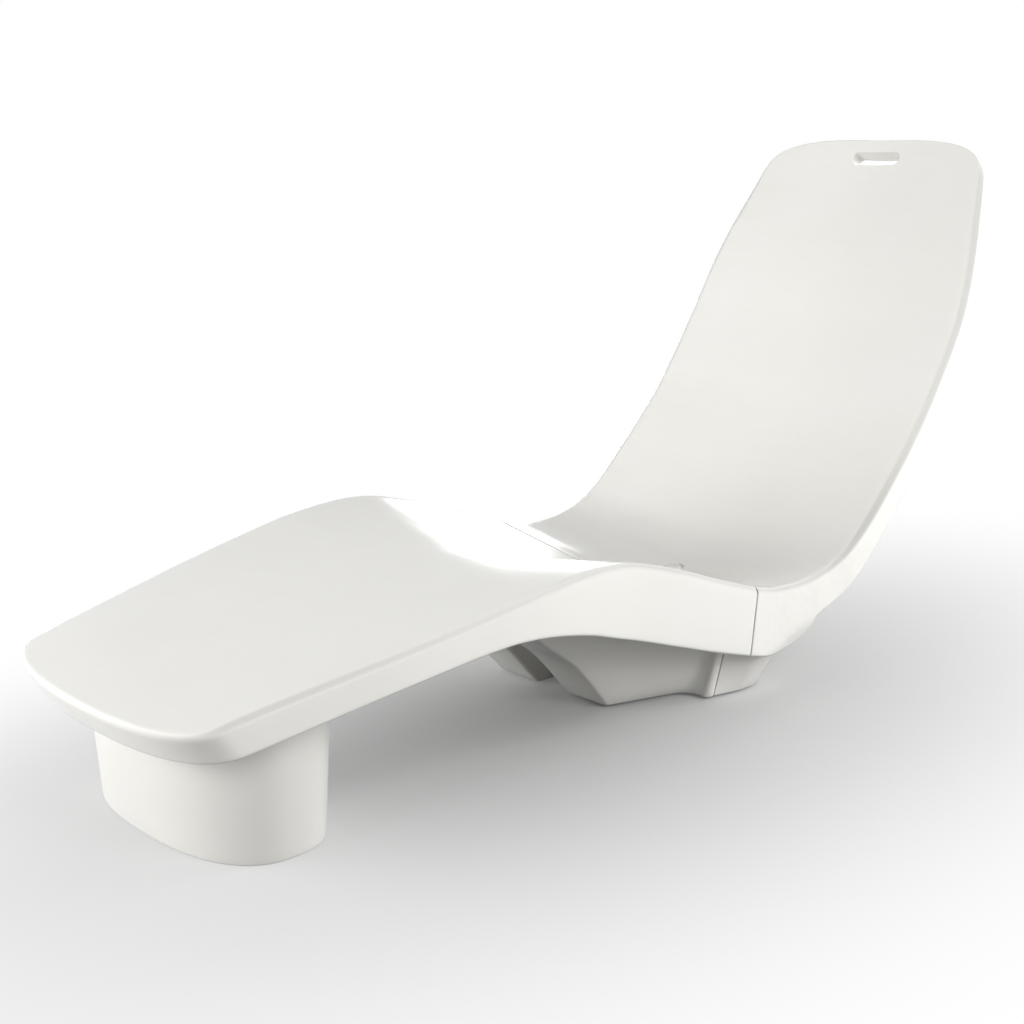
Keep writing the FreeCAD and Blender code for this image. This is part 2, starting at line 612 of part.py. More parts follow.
def back_section():
    """Rear moulding: rear of the seat, rear base and backrest with the hand slot."""
    seam_cut = box(-beyond, beyond, seam_y - beyond, rear_face_y, -beyond, beyond)
    outer = union([BACK.solid(0), seat_body(0), rear_base(0)]).cut(seam_cut)
    inner = union([BACK.solid(wall), seat_body(wall), rear_base(wall)])
    inner = inner.cut(seam_cut.translated(FreeCAD.Vector(0, wall, 0)))
    pocket = box(-size("pocket_half"), size("pocket_half"), rear_face_y + wall,
                 rear_face_y + wall + size("pocket_long"), -over, floor_gap + size("pocket_high"))
    pocket_skin = box(-size("pocket_half") - wall, size("pocket_half") + wall, rear_face_y,
                      rear_face_y + 2 * wall + size("pocket_long"), -over,
                      floor_gap + size("pocket_high") + wall)
    drain_start = FreeCAD.Vector(0, drain_y, -over)
    kept = [pocket_skin, slot_block(wall), rod(drain_bore_radius + wall, beyond, drain_start, UP)]
    seat_start = FreeCAD.Vector(0, drain_y, drain_floor_z - wall)
    kept.append(rod(drain_flange_radius + wall, beyond, seat_start, UP))
    holes = [pocket, slot_block(0), rod(drain_bore_radius, beyond, drain_start, UP),
             rod(drain_flange_radius + size("hole_clearance"), beyond,
                 FreeCAD.Vector(0, drain_y, drain_floor_z), UP)]
    for side in (-1, 1):
        start = FreeCAD.Vector(side * size("dowel_half"), rear_face_y, dowel_z)
        depth = size("dowel_long") / 2
        kept.append(rod(dowel_radius + boss_wall, depth + boss_wall, start, ALONG))
        holes.append(rod(dowel_radius, depth, start, ALONG))
        pad_start = FreeCAD.Vector(side * size("rear_pad_half"), seam_y + size("rear_pad_reach"), floor_gap)
        holes.append(rod(size("pad_diameter") / 2, size("pad_recess"), pad_start, UP))
    for x_here in seam_bolt_x:
        start = FreeCAD.Vector(x_here, rear_face_y - over, seam_bolt_z)
        holes.append(rod(seam_bolt_radius + size("hole_clearance"), wall + 2 * over, start, ALONG))
    vent_start, inward = back_vent_place
    holes.append(rod(vent_hole_radius, wall + 2 * over, vent_start - inward * over, inward))
    shell = outer.cut(inner.cut(Part.makeCompound(kept)))
    for hole in holes:
        shell = shell.cut(hole)
    return shell


def pedestal_loft(inset, low_z):
    """Tapering column, wider at the top, as high as the rim above its rear; it is trimmed later."""
    high_z = leg_row_at(pedestal_front_y + size("pedestal_long"))[1]
    wires = []
    for share in (0.0, 1.0):
        grow = share * size("pedestal_flare") - inset
        height = low_z + share * (high_z - low_z)
        wires.append(super_ring(size("pedestal_half") + grow, pedestal_front_y - grow,
                                size("pedestal_long") + 2 * grow, height, PEDESTAL_POWER))
    return Part.makeLoft(wires, True, True)


def pedestal():
    """Hollow foot under the leg rest, open below, its top trimmed to the underside."""
    trim = LEG.solid(0)
    below = LEG.middle_prism()
    outer = pedestal_loft(0, floor_gap).common(below).cut(trim)
    inner = pedestal_loft(wall, 0).common(below).cut(trim.translated(FreeCAD.Vector(0, 0, -wall)))
    shell = outer.cut(inner)
    for start, inward in foot_bolt_places:
        shell = shell.cut(rod(foot_bolt_radius + size("hole_clearance"), wall + 2 * over,
                              start - inward * (wall + over), inward))
    return shell


def placed_group(label, source, places):
    """Copies of one piece as separate solids of one node; local Z is turned to each direction."""
    copies = []
    for point, direction in places:
        copy = source.copy()
        turn = FreeCAD.Rotation(UP, direction)
        copy.Placement = FreeCAD.Placement(point, turn)
        copies.append(copy)
    return feature(label, Part.makeCompound(copies))


feature("leg_section", leg_section())
feature("back_section", back_section())
feature("pedestal", pedestal())


def sketch_on(body, label, points):
    """Closed outline in the body's upright plane; each corner is held by two expressions."""
    plane = [item for item in body.Origin.OriginFeatures if item.Role == "XZ_Plane"][0]
    sketch = body.newObject("Sketcher::SketchObject", label)
    sketch.AttachmentSupport = (plane, [""])
    sketch.MapMode = "FlatFace"
    values = [(worked(radius), worked(height)) for radius, height in points]
    count = len(points)
    for index in range(count):
        start = values[index]
        end = values[(index + 1) % count]
        sketch.addGeometry(Part.LineSegment(FreeCAD.Vector(start[0], start[1], 0),
                                            FreeCAD.Vector(end[0], end[1], 0)))
    for index in range(count):
        sketch.addConstraint(Sketcher.Constraint("Coincident", index, 2, (index + 1) % count, 1))
    for index, (radius, height) in enumerate(points):
        if values[index][0] == 0:
            sketch.addConstraint(Sketcher.Constraint("PointOnObject", index, 1, -2))
        else:
            held = sketch.addConstraint(Sketcher.Constraint("DistanceX", -1, 1, index, 1, values[index][0]))
            sketch.setExpression("Constraints[%d]" % held, sheet_words(radius))
        if values[index][1] == 0:
            sketch.addConstraint(Sketcher.Constraint("PointOnObject", index, 1, -1))
        else:
            held = sketch.addConstraint(Sketcher.Constraint("DistanceY", -1, 1, index, 1, values[index][1]))
            sketch.setExpression("Constraints[%d]" % held, sheet_words(height))
    return sketch


def sheet_words(formula):
    """Formula with every size name pointed at the sheet."""
    words = formula.split(" ")
    return " ".join("sizes." + word if word in SIZE_NAMES else word for word in words)


def worked(formula):
    """Value of a formula of size names, numbers, plus, minus, times and over."""
    total = 0.0
    sign = 1.0
    product = None
    operation = "*"
    for word in formula.split(" "):
        if word in ("+", "-"):
            total += sign * product
            sign = 1.0 if word == "+" else -1.0
            product = None
            operation = "*"
        elif word in ("*", "/"):
            operation = word
        else:
            value = size(word) if word in SIZE_NAMES else float(word)
            if product is None:
                product = value
            elif operation == "*":
                product *= value
            else:
                product /= value
    return total + sign * product


def turned(label, points):
    """Body turned about its upright axis from a half outline."""
    body = DOC.addObject("PartDesign::Body", label)
    sketch = sketch_on(body, label + "_outline", points)
    turn = body.newObject("PartDesign::Revolution", label + "_turned")
    turn.Profile = sketch
    turn.ReferenceAxis = (sketch, ["V_Axis"])
    turn.Angle = 360
    DOC.recompute()
    return body


def ring_outline(bore, outside, low, high):
    """Half outline of a plain ring between two heights."""
    return [(bore, low), (outside, low), (outside, high), (bore, high)]


def socket_bolt(label, diameter, length):
    """Cap bolt: head first, shank upwards, with a hexagon socket in the head."""
    head = diameter + " * bolt_head_share"
    high = diameter + " * bolt_head_high_share"
    body = turned(label + "_blank", [
        ("0", "0"), (head, "0"), (head, high), (diameter + " / 2", high),
        (diameter + " / 2", high + " + " + length), ("0", high + " + " + length)])
    socket = DOC.addObject("Part::Prism", label + "_socket")
    socket.Polygon = 6
    socket.setExpression("Circumradius", sheet_words(diameter + " * bolt_socket_share"))
    socket.setExpression("Height", sheet_words(diameter + " * bolt_socket_deep_share"))
    bolt = DOC.addObject("Part::Cut", label + "_master")
    bolt.Base = body
    bolt.Tool = socket
    DOC.recompute()
    return bolt


def shifted(places, distance):
    """The same places moved along their directions."""
    return [(point + direction * distance, direction) for point, direction in places]


# Seam joint: bolts from the pocket of the rear base into inserts of the front moulding
seam_places = [(FreeCAD.Vector(x_here, front_face_y, seam_bolt_z), AGAINST) for x_here in seam_bolt_x]
seam_stack = size("seam_gap") + wall
seam_head = worked("seam_bolt_diameter * bolt_head_high_share")
seam_bolt = socket_bolt("seam_bolt", "seam_bolt_diameter", "seam_bolt_long")
placed_group("seam_bolts", seam_bolt.Shape,
             shifted(seam_places, -seam_stack - size("washer_thick") - seam_head))
seam_washer = turned("seam_washer_master", ring_outline(
    "seam_bolt_diameter / 2 + hole_clearance", "seam_bolt_diameter", "0", "washer_thick"))
placed_group("seam_washers", seam_washer.Shape, shifted(seam_places, -seam_stack - size("washer_thick")))
seam_insert = turned("seam_insert_master", ring_outline(
    "seam_bolt_diameter / 2 + thread_clearance", "seam_bolt_diameter / 2 + insert_wall", "0",
    "seam_bolt_long - moulding_wall - insert_recess"))
placed_group("seam_inserts", seam_insert.Shape, shifted(seam_places, size("insert_recess")))
dowel = turned("dowel_master", [
    ("0", "0"), ("dowel_diameter * dowel_end_share", "0"),
    ("dowel_diameter / 2", "dowel_diameter * dowel_chamfer_share"),
    ("dowel_diameter / 2", "dowel_long - dowel_diameter * dowel_chamfer_share"),
    ("dowel_diameter * dowel_end_share", "dowel_long"), ("0", "dowel_long")])
dowel_places = [(FreeCAD.Vector(side * size("dowel_half"), seam_y - size("dowel_long") / 2,
                                dowel_z), ALONG) for side in (-1, 1)]
placed_group("seam_dowels", dowel.Shape, dowel_places)

# Pedestal joint: bolts up through the top wall of the pedestal
foot_stack = wall * foot_bolt_places[0][1].z
foot_head = worked("foot_bolt_diameter * bolt_head_high_share")
foot_bolt = socket_bolt("pedestal_bolt", "foot_bolt_diameter", "foot_bolt_long")
placed_group("pedestal_bolts", foot_bolt.Shape,
             shifted(foot_bolt_places, -foot_stack - size("washer_thick") - foot_head))
foot_washer = turned("pedestal_washer_master", ring_outline(
    "foot_bolt_diameter / 2 + hole_clearance", "foot_bolt_diameter", "0", "washer_thick"))
placed_group("pedestal_washers", foot_washer.Shape,
             shifted(foot_bolt_places, -foot_stack - size("washer_thick")))
foot_insert = turned("pedestal_insert_master", ring_outline(
    "foot_bolt_diameter / 2 + thread_clearance", "foot_bolt_diameter / 2 + insert_wall", "0",
    "foot_bolt_long - moulding_wall - insert_recess"))
placed_group("pedestal_inserts", foot_insert.Shape, shifted(foot_bolt_places, size("insert_recess")))

# Rubber under the base and the pedestal
pad = turned("pad_master", [
    ("0", "0"), ("pad_diameter / 2 - floor_gap * pad_chamfer_share", "0"),
    ("pad_diameter / 2", "floor_gap * pad_chamfer_share"),
    ("pad_diameter / 2", "floor_gap + pad_recess"), ("0", "floor_gap + pad_recess")])
lobe_pad_places = [(FreeCAD.Vector(side * size("lobe_pad_half"), seam_y - size("lobe_pad_reach"), 0), UP)
                   for side in (-1, 1)]
rear_pad_places = [(FreeCAD.Vector(side * size("rear_pad_half"), seam_y + size("rear_pad_reach"), 0), UP)
                   for side in (-1, 1)]
placed_group("lobe_pads", pad.Shape, lobe_pad_places)
placed_group("rear_pads", pad.Shape, rear_pad_places)


def foot_ring():
    """Rubber ring under the wall of the pedestal."""
    outer_inset = size("foot_ring_inset")
    rings = []
    for inset in (outer_inset, outer_inset + size("foot_ring_wide")):
        wire = super_ring(size("pedestal_half") - inset, pedestal_front_y + inset,
                          size("pedestal_long") - 2 * inset, 0, PEDESTAL_POWER)
        rings.append(Part.Face(wire).extrude(FreeCAD.Vector(0, 0, floor_gap)))
    return rings[0].cut(rings[1])


feature("pedestal_ring", foot_ring())

# Drain in the seat: flanged sleeve on a flat gasket, closed by a screw plug with a seal
drain_point = FreeCAD.Vector(0, drain_y, drain_floor_z)
drain_gasket = turned("drain_gasket", ring_outline(
    "drain_tube / 2", "drain_flange / 2", "0", "drain_gasket_thick"))
drain_gasket.Placement = FreeCAD.Placement(drain_point, FreeCAD.Rotation())
sleeve_bore = "drain_tube / 2 - drain_sleeve_wall"
drain_ring = turned("drain_ring", [
    (sleeve_bore, "0"), ("drain_tube / 2 - thread_clearance", "0"),
    ("drain_tube / 2 - thread_clearance", "drain_sleeve_long"), ("drain_flange / 2", "drain_sleeve_long"),
    ("drain_flange / 2", "drain_sleeve_long + drain_flange_thick"),
    (sleeve_bore, "drain_sleeve_long + drain_flange_thick")])
flange_z = drain_floor_z + size("drain_gasket_thick")
drain_ring.Placement = FreeCAD.Placement(
    FreeCAD.Vector(0, drain_y, flange_z - size("drain_sleeve_long")), FreeCAD.Rotation())
stem = sleeve_bore + " - plug_clearance"
groove = sleeve_bore + " - plug_ring_wire - thread_clearance * 2"
groove_low = "plug_stem_long * groove_low_share"
groove_high = groove_low + " + plug_ring_wire * groove_wide_share"
plug_blank = turned("drain_plug_blank", [
    ("0", "0"), (stem, "0"), (stem, groove_low), (groove, groove_low), (groove, groove_high),
    (stem, groove_high), (stem, "plug_stem_long"), ("plug_cap / 2", "plug_stem_long"),
    ("plug_cap / 2", "plug_stem_long + plug_cap_thick"),
    ("plug_cap * dome_out_share", "plug_stem_long + plug_cap_thick + plug_dome * dome_out_high_share"),
    ("plug_cap * dome_in_share", "plug_stem_long + plug_cap_thick + plug_dome * dome_in_high_share"),
    ("0", "plug_stem_long + plug_cap_thick + plug_dome")])
plug_slot = DOC.addObject("Part::Box", "drain_plug_slot")
plug_slot.setExpression("Length", "sizes.plug_cap * sizes.coin_slot_share")
plug_slot.setExpression("Width", "sizes.plug_slot_wide")
plug_slot.setExpression("Height", "sizes.plug_slot_deep + sizes.cut_over")
plug_slot.setExpression("Placement.Base.x", "-sizes.plug_cap * sizes.coin_slot_share / 2")
plug_slot.setExpression("Placement.Base.y", "-sizes.plug_slot_wide / 2")
plug_slot.setExpression("Placement.Base.z", sheet_words(
    "plug_stem_long + plug_cap_thick + plug_dome * dome_in_high_share - plug_slot_deep"))
drain_plug = DOC.addObject("Part::Cut", "drain_plug")
drain_plug.Base = plug_blank
drain_plug.Tool = plug_slot
DOC.recompute()
plug_foot_z = flange_z + size("drain_flange_thick") - size("plug_stem_long")
drain_plug.Placement = FreeCAD.Placement(FreeCAD.Vector(0, drain_y, plug_foot_z), FreeCAD.Rotation())
plug_seal = DOC.addObject("Part::Torus", "drain_plug_seal")
plug_seal.setExpression("Radius1", sheet_words(
    sleeve_bore + " - plug_ring_wire / 2 - thread_clearance"))
plug_seal.setExpression("Radius2", "sizes.plug_ring_wire / 2")
DOC.recompute()
seal_z = plug_foot_z + worked(groove_low + " + plug_ring_wire * groove_wide_share / 2")
plug_seal.Placement = FreeCAD.Placement(FreeCAD.Vector(0, drain_y, seal_z), FreeCAD.Rotation())

# Vent plugs of the two closed mouldings
vent_places = [leg_vent_place, back_vent_place]
vent_plug = turned("vent_plug_master", [
    ("0", "0"), ("vent_cap / 2", "0"), ("vent_cap / 2", "vent_cap_thick"),
    ("vent_stem / 2", "vent_cap_thick"), ("vent_stem / 2", "vent_cap_thick + vent_stem_long"),
    ("0", "vent_cap_thick + vent_stem_long")])
placed_group("vent_plugs", vent_plug.Shape,
             shifted(vent_places, -size("vent_cap_thick") - size("vent_seal_thick")))
vent_seal = turned("vent_seal_master", ring_outline(
    "vent_stem / 2 + hole_clearance", "vent_cap / 2", "0", "vent_seal_thick"))
placed_group("vent_seals", vent_seal.Shape, shifted(vent_places, -size("vent_seal_thick")))


def seam_gasket():
    """Closed strip in the seam, following its outline at an even distance."""
    upper = Part.Face(LEG.section(LEG.length, 0))
    lower = seam_rib(0).slice(ALONG, seam_y)
    outline = upper.fuse(Part.Face(lower[0])).removeSplitter().Faces[0].OuterWire
    face = Part.Face(outline)
    slabs = []
    for inset in (size("gasket_inset"), size("gasket_inset") + size("gasket_wide")):
        offset = face.makeOffset2D(-inset, 0).Faces[0].OuterWire
        points = offset.discretize(GASKET_POINTS)
        points = [FreeCAD.Vector(point.x, front_face_y, point.z) for point in points]
        points[-1] = points[0]
        slabs.append(Part.Face(Part.makePolygon(points)).extrude(FreeCAD.Vector(0, size("seam_gap"), 0)))
    return slabs[0].cut(slabs[1])


feature("seam_gasket", seam_gasket())
DOC.recompute()

EXPORTED = ["leg_section", "back_section", "pedestal", "pedestal_ring", "lobe_pads", "rear_pads",
            "seam_gasket", "seam_bolts", "seam_washers", "seam_inserts", "seam_dowels",
            "pedestal_bolts", "pedestal_washers", "pedestal_inserts", "drain_ring", "drain_gasket",
            "drain_plug", "drain_plug_seal", "vent_plugs", "vent_seals"]
for item in DOC.Objects:
    if "Invalid" in item.State or "Error" in item.State:
        raise ValueError(item.Label + " did not compute")
os.makedirs("parts", exist_ok=True)
for label in EXPORTED:
    shape = DOC.getObject(label).Shape
    if shape.isNull() or not shape.isValid() or not shape.Solids:
        raise ValueError(label + " has no sound shape")
    shape.exportStep("parts/" + label + ".step")
    print(label, len(shape.Solids), shape.Volume, shape.BoundBox)
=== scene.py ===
"""Spa lounger: the visible skins, materials, floor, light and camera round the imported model."""

import math

import bmesh
import bpy
import numpy as np
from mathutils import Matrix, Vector


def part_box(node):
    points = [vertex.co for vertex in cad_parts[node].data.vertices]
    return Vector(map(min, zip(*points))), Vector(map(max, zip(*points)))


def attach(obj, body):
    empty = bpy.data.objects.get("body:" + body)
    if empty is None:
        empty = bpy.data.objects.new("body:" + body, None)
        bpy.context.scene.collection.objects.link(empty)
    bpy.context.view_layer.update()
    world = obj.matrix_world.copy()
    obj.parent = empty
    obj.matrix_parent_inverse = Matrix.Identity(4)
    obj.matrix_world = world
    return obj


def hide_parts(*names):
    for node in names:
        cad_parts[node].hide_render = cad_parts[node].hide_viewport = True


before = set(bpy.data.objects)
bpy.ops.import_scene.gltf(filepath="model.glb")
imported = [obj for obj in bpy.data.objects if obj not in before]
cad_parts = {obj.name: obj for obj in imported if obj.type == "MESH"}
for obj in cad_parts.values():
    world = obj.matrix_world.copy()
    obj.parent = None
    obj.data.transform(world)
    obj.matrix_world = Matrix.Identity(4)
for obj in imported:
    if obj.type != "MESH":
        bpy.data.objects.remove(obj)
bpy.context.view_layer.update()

bl_info = {
    "name": "Spa Lounger",
    "version": (1, 0, 0),
    "blender": (4, 5, 0),
    "location": "3D View > Sidebar > Lounger",
    "description": "Moulded relaxation lounger with its floor and light",
    "category": "Add Mesh",
}

# Side profile of the leg rest from the foot tip to the seam: ridge distance ahead of the seam,
# ridge height, ridge half width, distance and height of the lower edge, dish, bulge of the
# lower face, depth of the fold, width of the rim bevel. Shares of foot_reach, full_height and
# ridge_half; dish and bulge of full_height, bevel of ridge_half. The fold of the side at the hip
# is a share of the thickness, 1 where there is none.
LEG_SHARES = np.array([
    (1.0000, 0.2316, 0.7401, 0.9793, 0.1789, 0.000, 0.000, 1.00, 0.0147),
    (0.9121, 0.2542, 0.7751, 0.9038, 0.1958, 0.003, 0.000, 1.00, 0.0267),
    (0.7968, 0.2778, 0.8415, 0.7935, 0.2194, 0.008, 0.000, 1.00, 0.0247),
    (0.6733, 0.3013, 0.9138, 0.6708, 0.2439, 0.012, 0.000, 1.00, 0.0197),
    (0.5348, 0.3277, 0.9664, 0.5332, 0.2627, 0.017, 0.000, 1.00, 0.0147),
    (0.4594, 0.3409, 0.9804, 0.4577, 0.2589, 0.022, 0.000, 1.00, 0.0147),
    (0.3723, 0.3493, 0.9776, 0.3723, 0.2392, 0.032, 0.000, 1.00, 0.0147),
    (0.3151, 0.3465, 0.9720, 0.3151, 0.2185, 0.040, 0.000, 1.00, 0.0147),
    (0.2653, 0.3352, 0.9664, 0.2653, 0.2006, 0.044, 0.000, 1.00, 0.0147),
    (0.1774, 0.3041, 0.9664, 0.1774, 0.1667, 0.046, 0.000, 1.00, 0.0147),
    (0.0912, 0.2684, 0.9692, 0.0912, 0.1337, 0.046, 0.000, 1.00, 0.0147),
    (0.0000, 0.2326, 0.9720, 0.0000, 0.1017, 0.045, 0.000, 1.00, 0.0147),
])

# The same from the head tip to the seam, with the hip of the seat as the lower edge near the seam
BACK_SHARES = np.array([
    (0.9886, 1.0095, 0.7580, 1.0059, 1.0001, 0.018, 0.037, 1.00, 0.0140),
    (0.9306, 0.9171, 0.8063, 0.9537, 0.9068, 0.020, 0.037, 1.00, 0.0347),
    (0.8846, 0.8503, 0.8556, 0.9122, 0.8399, 0.022, 0.036, 1.00, 0.0387),
    (0.8432, 0.7891, 0.9032, 0.8731, 0.7750, 0.024, 0.034, 1.00, 0.0387),
    (0.7949, 0.7128, 0.9452, 0.8329, 0.6968, 0.026, 0.028, 1.00, 0.0387),
    (0.7455, 0.6366, 0.9648, 0.7949, 0.6158, 0.029, 0.020, 1.00, 0.0387),
    (0.6707, 0.5433, 0.9704, 0.7270, 0.5094, 0.032, 0.017, 1.00, 0.0387),
    (0.5936, 0.4586, 0.9732, 0.6476, 0.4228, 0.035, 0.017, 1.00, 0.0387),
    (0.4866, 0.3663, 0.9788, 0.5395, 0.3211, 0.039, 0.018, 1.00, 0.0387),
    (0.3980, 0.2985, 0.9808, 0.4474, 0.2440, 0.041, 0.016, 1.00, 0.0367),
    (0.3255, 0.2524, 0.9814, 0.3700, 0.1860, 0.044, 0.013, 1.00, 0.0277),
    (0.2750, 0.2330, 0.9790, 0.3120, 0.1590, 0.045, 0.009, 1.00, 0.0207),
    (0.2500, 0.2270, 0.9780, 0.2620, 0.1452, 0.046, 0.006, 1.00, 0.0187),
    (0.2360, 0.2243, 0.9778, 0.2330, 0.1380, 0.046, 0.004, 1.00, 0.0177),
    (0.2280, 0.2231, 0.9775, 0.2240, 0.1318, 0.046, 0.002, 0.97, 0.0172),
    (0.1960, 0.2187, 0.9752, 0.2110, 0.1108, 0.047, 0.000, 0.82, 0.0157),
    (0.1640, 0.2167, 0.9737, 0.1830, 0.0960, 0.047, 0.000, 0.73, 0.0147),
    (0.1323, 0.2166, 0.9720, 0.1480, 0.0882, 0.047, 0.000, 0.76, 0.0147),
    (0.0690, 0.2203, 0.9692, 0.0760, 0.0866, 0.047, 0.000, 0.96, 0.0147),
    (0.0000, 0.2326, 0.9720, 0.0000, 0.1017, 0.045, 0.000, 1.00, 0.0147),
])

# Front of a lobe: height share and the share of the forward sweep reached there
LOBE_SHARES = np.array([(0.0, 0.0), (0.118, 0.10), (0.235, 0.195), (0.357, 0.30), (0.458, 0.40),
                        (0.525, 0.48), (0.7, 0.70), (1.0, 1.0)])

# Ends and rims of the skins: powers of the superellipses, softness, fold, shares
FOOT_CORNER_POWER = 2.4
HEAD_CORNER_POWER = 2.7
FOOT_SOFTNESS = 2.0
HEAD_SOFTNESS = 1.0
FOLD_SLOPE = 0.25
FOLD_ROUND = 0.002
LOW_CORNER_SHARE = 1.45
LEAN_SHARE = 0.082
DISH_ROUND_SHARE = 0.25
BULGE_POWER = 1.6
RIM_ROOM_SHARE = 0.95
# Strength of the painted shade on the rim's bevel band at the tip, and the shares of the length where it
# grows
RIM_FAINT = 0.62
RIM_FAINT_RUN = 0.5
RIM_CHANGE_RUN = 0.22
# Base and pedestal
LOBE_FLARE_POWER = 0.6
LOBE_FRONT_SHARE = 0.25
LOBE_ROUND = 0.012
LOBE_INNER_ROUND = 0.010
COVE_ROOM_SHARE = 0.8
RIB_ROOM_SHARE = 0.25
HIDDEN_RISE = 0.05
REAR_WIDEST_SHARE = 0.45
WAIST_ROUND = 0.06
PEDESTAL_POWER = 2.5
PEDESTAL_TOP_SHARE = 0.27
# Holes: margin round the slot in lips, straight share of a square's side, cells left out each way
# for the drain, depth of the drain's seat
SLOT_MARGIN = 4
SQUARE_CORNER = 0.8
DRAIN_CELLS = 6
DRAIN_SEAT = 0.004
SEAM_OPEN_SHARE = 1.7

# Grid counts and steps
TIP_ROWS = 44
LONG_ROWS = 150
SEAM_ROWS = 6
COLUMNS = 48
CORNER_STEPS = 6
SIDE_STEPS = 14
PATCH_RINGS = 6
RING_POINTS = 96
LEVELS = 26
EDGE_STEPS = 5
STATION_STEPS = 20
FINE_STEPS = 400
WELD = 0.00003
SHARP_ANGLE = math.radians(38)

SEAM_LOW, SEAM_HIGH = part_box("seam_gasket")
SEAM_Y = (SEAM_LOW.y + SEAM_HIGH.y) / 2
DRAIN_LOW, DRAIN_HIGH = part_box("drain_ring")


def linear(screen):
    """Linear light values of a colour written as screen values from 0 to 255."""
    share = np.asarray(screen, float) / 255
    return np.where(share <= 0.04045, share / 12.92, ((share + 0.055) / 1.055) ** 2.4).tolist()


def size(default, text):
    """Length in metres that a user may change."""
    return bpy.props.FloatProperty(name=text, description=text, default=default, min=0.0, precision=4,
                                   unit="LENGTH", subtype="DISTANCE")


def paint(default, text):
    """Colour that a user may change, kept as linear light."""
    return bpy.props.FloatVectorProperty(name=text, description=text, default=linear(default), size=3,
                                         min=0.0, max=1.0, subtype="COLOR")


class LoungerSizes(bpy.types.PropertyGroup):
    """Lengths of the lounger."""
    foot_reach: size(1.1445, "Seam to foot tip")
    head_reach: size(0.8257, "Seam to head tip")
    full_height: size(1.0084, "Floor to head tip")
    ridge_half: size(0.339, "Half the width between the rims")
    bevel_deep: size(0.0085, "Depth of the rim bevel")
    foot_corner: size(0.071, "Length of the rounded foot end")
    head_corner: size(0.088, "Length of the rounded head end")
    seam_gap: size((SEAM_HIGH.y - SEAM_LOW.y) * SEAM_OPEN_SHARE, "Gap between the two mouldings")
    seam_round: size(0.0015, "Rounding of the mouldings at the seam")
    ridge_round: size(0.003, "Rounding of the rim")
    bevel_round: size(0.0035, "Rounding below the rim bevel")
    low_round: size(0.006, "Rounding of the lower edge")
    floor_gap: size(0.003, "Mouldings above the floor")
    wall: size(0.006, "Wall of the mouldings")
    channel_half: size(0.037, "Half the channel between the lobes")
    lobe_half: size(0.137, "Half width across the fronts of the lobes")
    lobe_rear_half: size(0.186, "Half width across the rears of the lobes")
    lobe_flare: size(0.088, "Widening of the lobes to their top")
    lobe_reach: size(0.180, "Seam to the foot of the lobes")
    lobe_sweep: size(0.262, "Forward sweep of the lobes")
    lobe_high: size(0.238, "Height of the lobes")
    cove_round: size(0.045, "Rounding between the lobes and the rib")
    rib_round: size(0.014, "Rounding of the rib")
    rib_long: size(0.018, "Length of the seam rib")
    bridge_long: size(0.024, "Length of the bridge between the lobes")
    rib_half: size(0.242, "Half width of the seam rib")
    base_flare: size(0.025, "Widening of the base to its top")
    base_high: size(0.110, "Height of the base")
    rear_half: size(0.257, "Half width of the rear base")
    rear_long: size(0.138, "Length of the rear base")
    rear_round: size(0.038, "Rear corners of the base")
    rear_flare: size(0.024, "Rearward widening of the base")
    rear_side_flare: size(0.052, "Sideward widening of the rear of the base")
    pocket_half: size(0.170, "Half width of the bolt pocket")
    pocket_long: size(0.062, "Length of the bolt pocket")
    pocket_high: size(0.080, "Height of the bolt pocket")
    base_round: size(0.005, "Rounding of edges at the floor")
    pedestal_half: size(0.2255, "Half width of the pedestal")
    pedestal_lip: size(0.0014, "Thickness of the pedestal's lip outside its rubber ring")
    lip_gap: size(0.0006, "Gap between the pedestal's lip and the floor")
    pedestal_front: size(1.055, "Seam to the front of the pedestal")
    pedestal_long: size(0.2415, "Length of the pedestal")
    pedestal_flare: size(0.016, "Widening of the pedestal to its top")
    pedestal_groove: size(0.002, "Groove round the top of the pedestal")
    slot_half: size(0.059, "Half width of the hand slot")
    slot_high: size(0.031, "Height of the hand slot")
    slot_drop: size(0.0435, "Head tip to the middle of the hand slot")
    slot_round: size(0.013, "Corners of the hand slot")
    slot_lip: size(0.0018, "Rounded lip of the hand slot")
    drain_recess: size(0.0255, "Radius of the drain's seat")
    drain_tube: size(0.016, "Radius of the drain's tube")
    drain_lip: size(0.0015, "Rounded lip of the drain's seat")


class LoungerColours(bpy.types.PropertyGroup):
    """Colours of the lounger and the floor."""
    shell: paint((233, 232, 228), "Moulded plastic")
    shell_deep: paint((229, 228, 223), "Moulded plastic, darker patches")
    # The pedestal's colours are darker than the shell's: partly a slightly different moulding, partly painted
    # shade from the leg rest that overhangs it
    pedestal: paint((219, 218, 214), "Pedestal")
    pedestal_deep: paint((215, 214, 209), "Pedestal, darker patches")
    fitting: paint((226, 225, 221), "Drain and vent plugs")
    rubber: paint((186, 185, 182), "Rubber feet")
    seal: paint((30, 30, 31), "Seals")
    steel: paint((186, 188, 190), "Bolts and washers")
    brass: paint((214, 178, 104), "Threaded inserts")
    # The floor's grey shows only round the object, where it is painted shadow; further out the floor fades to
    # white
    floor: paint((188, 188, 188), "Floor")


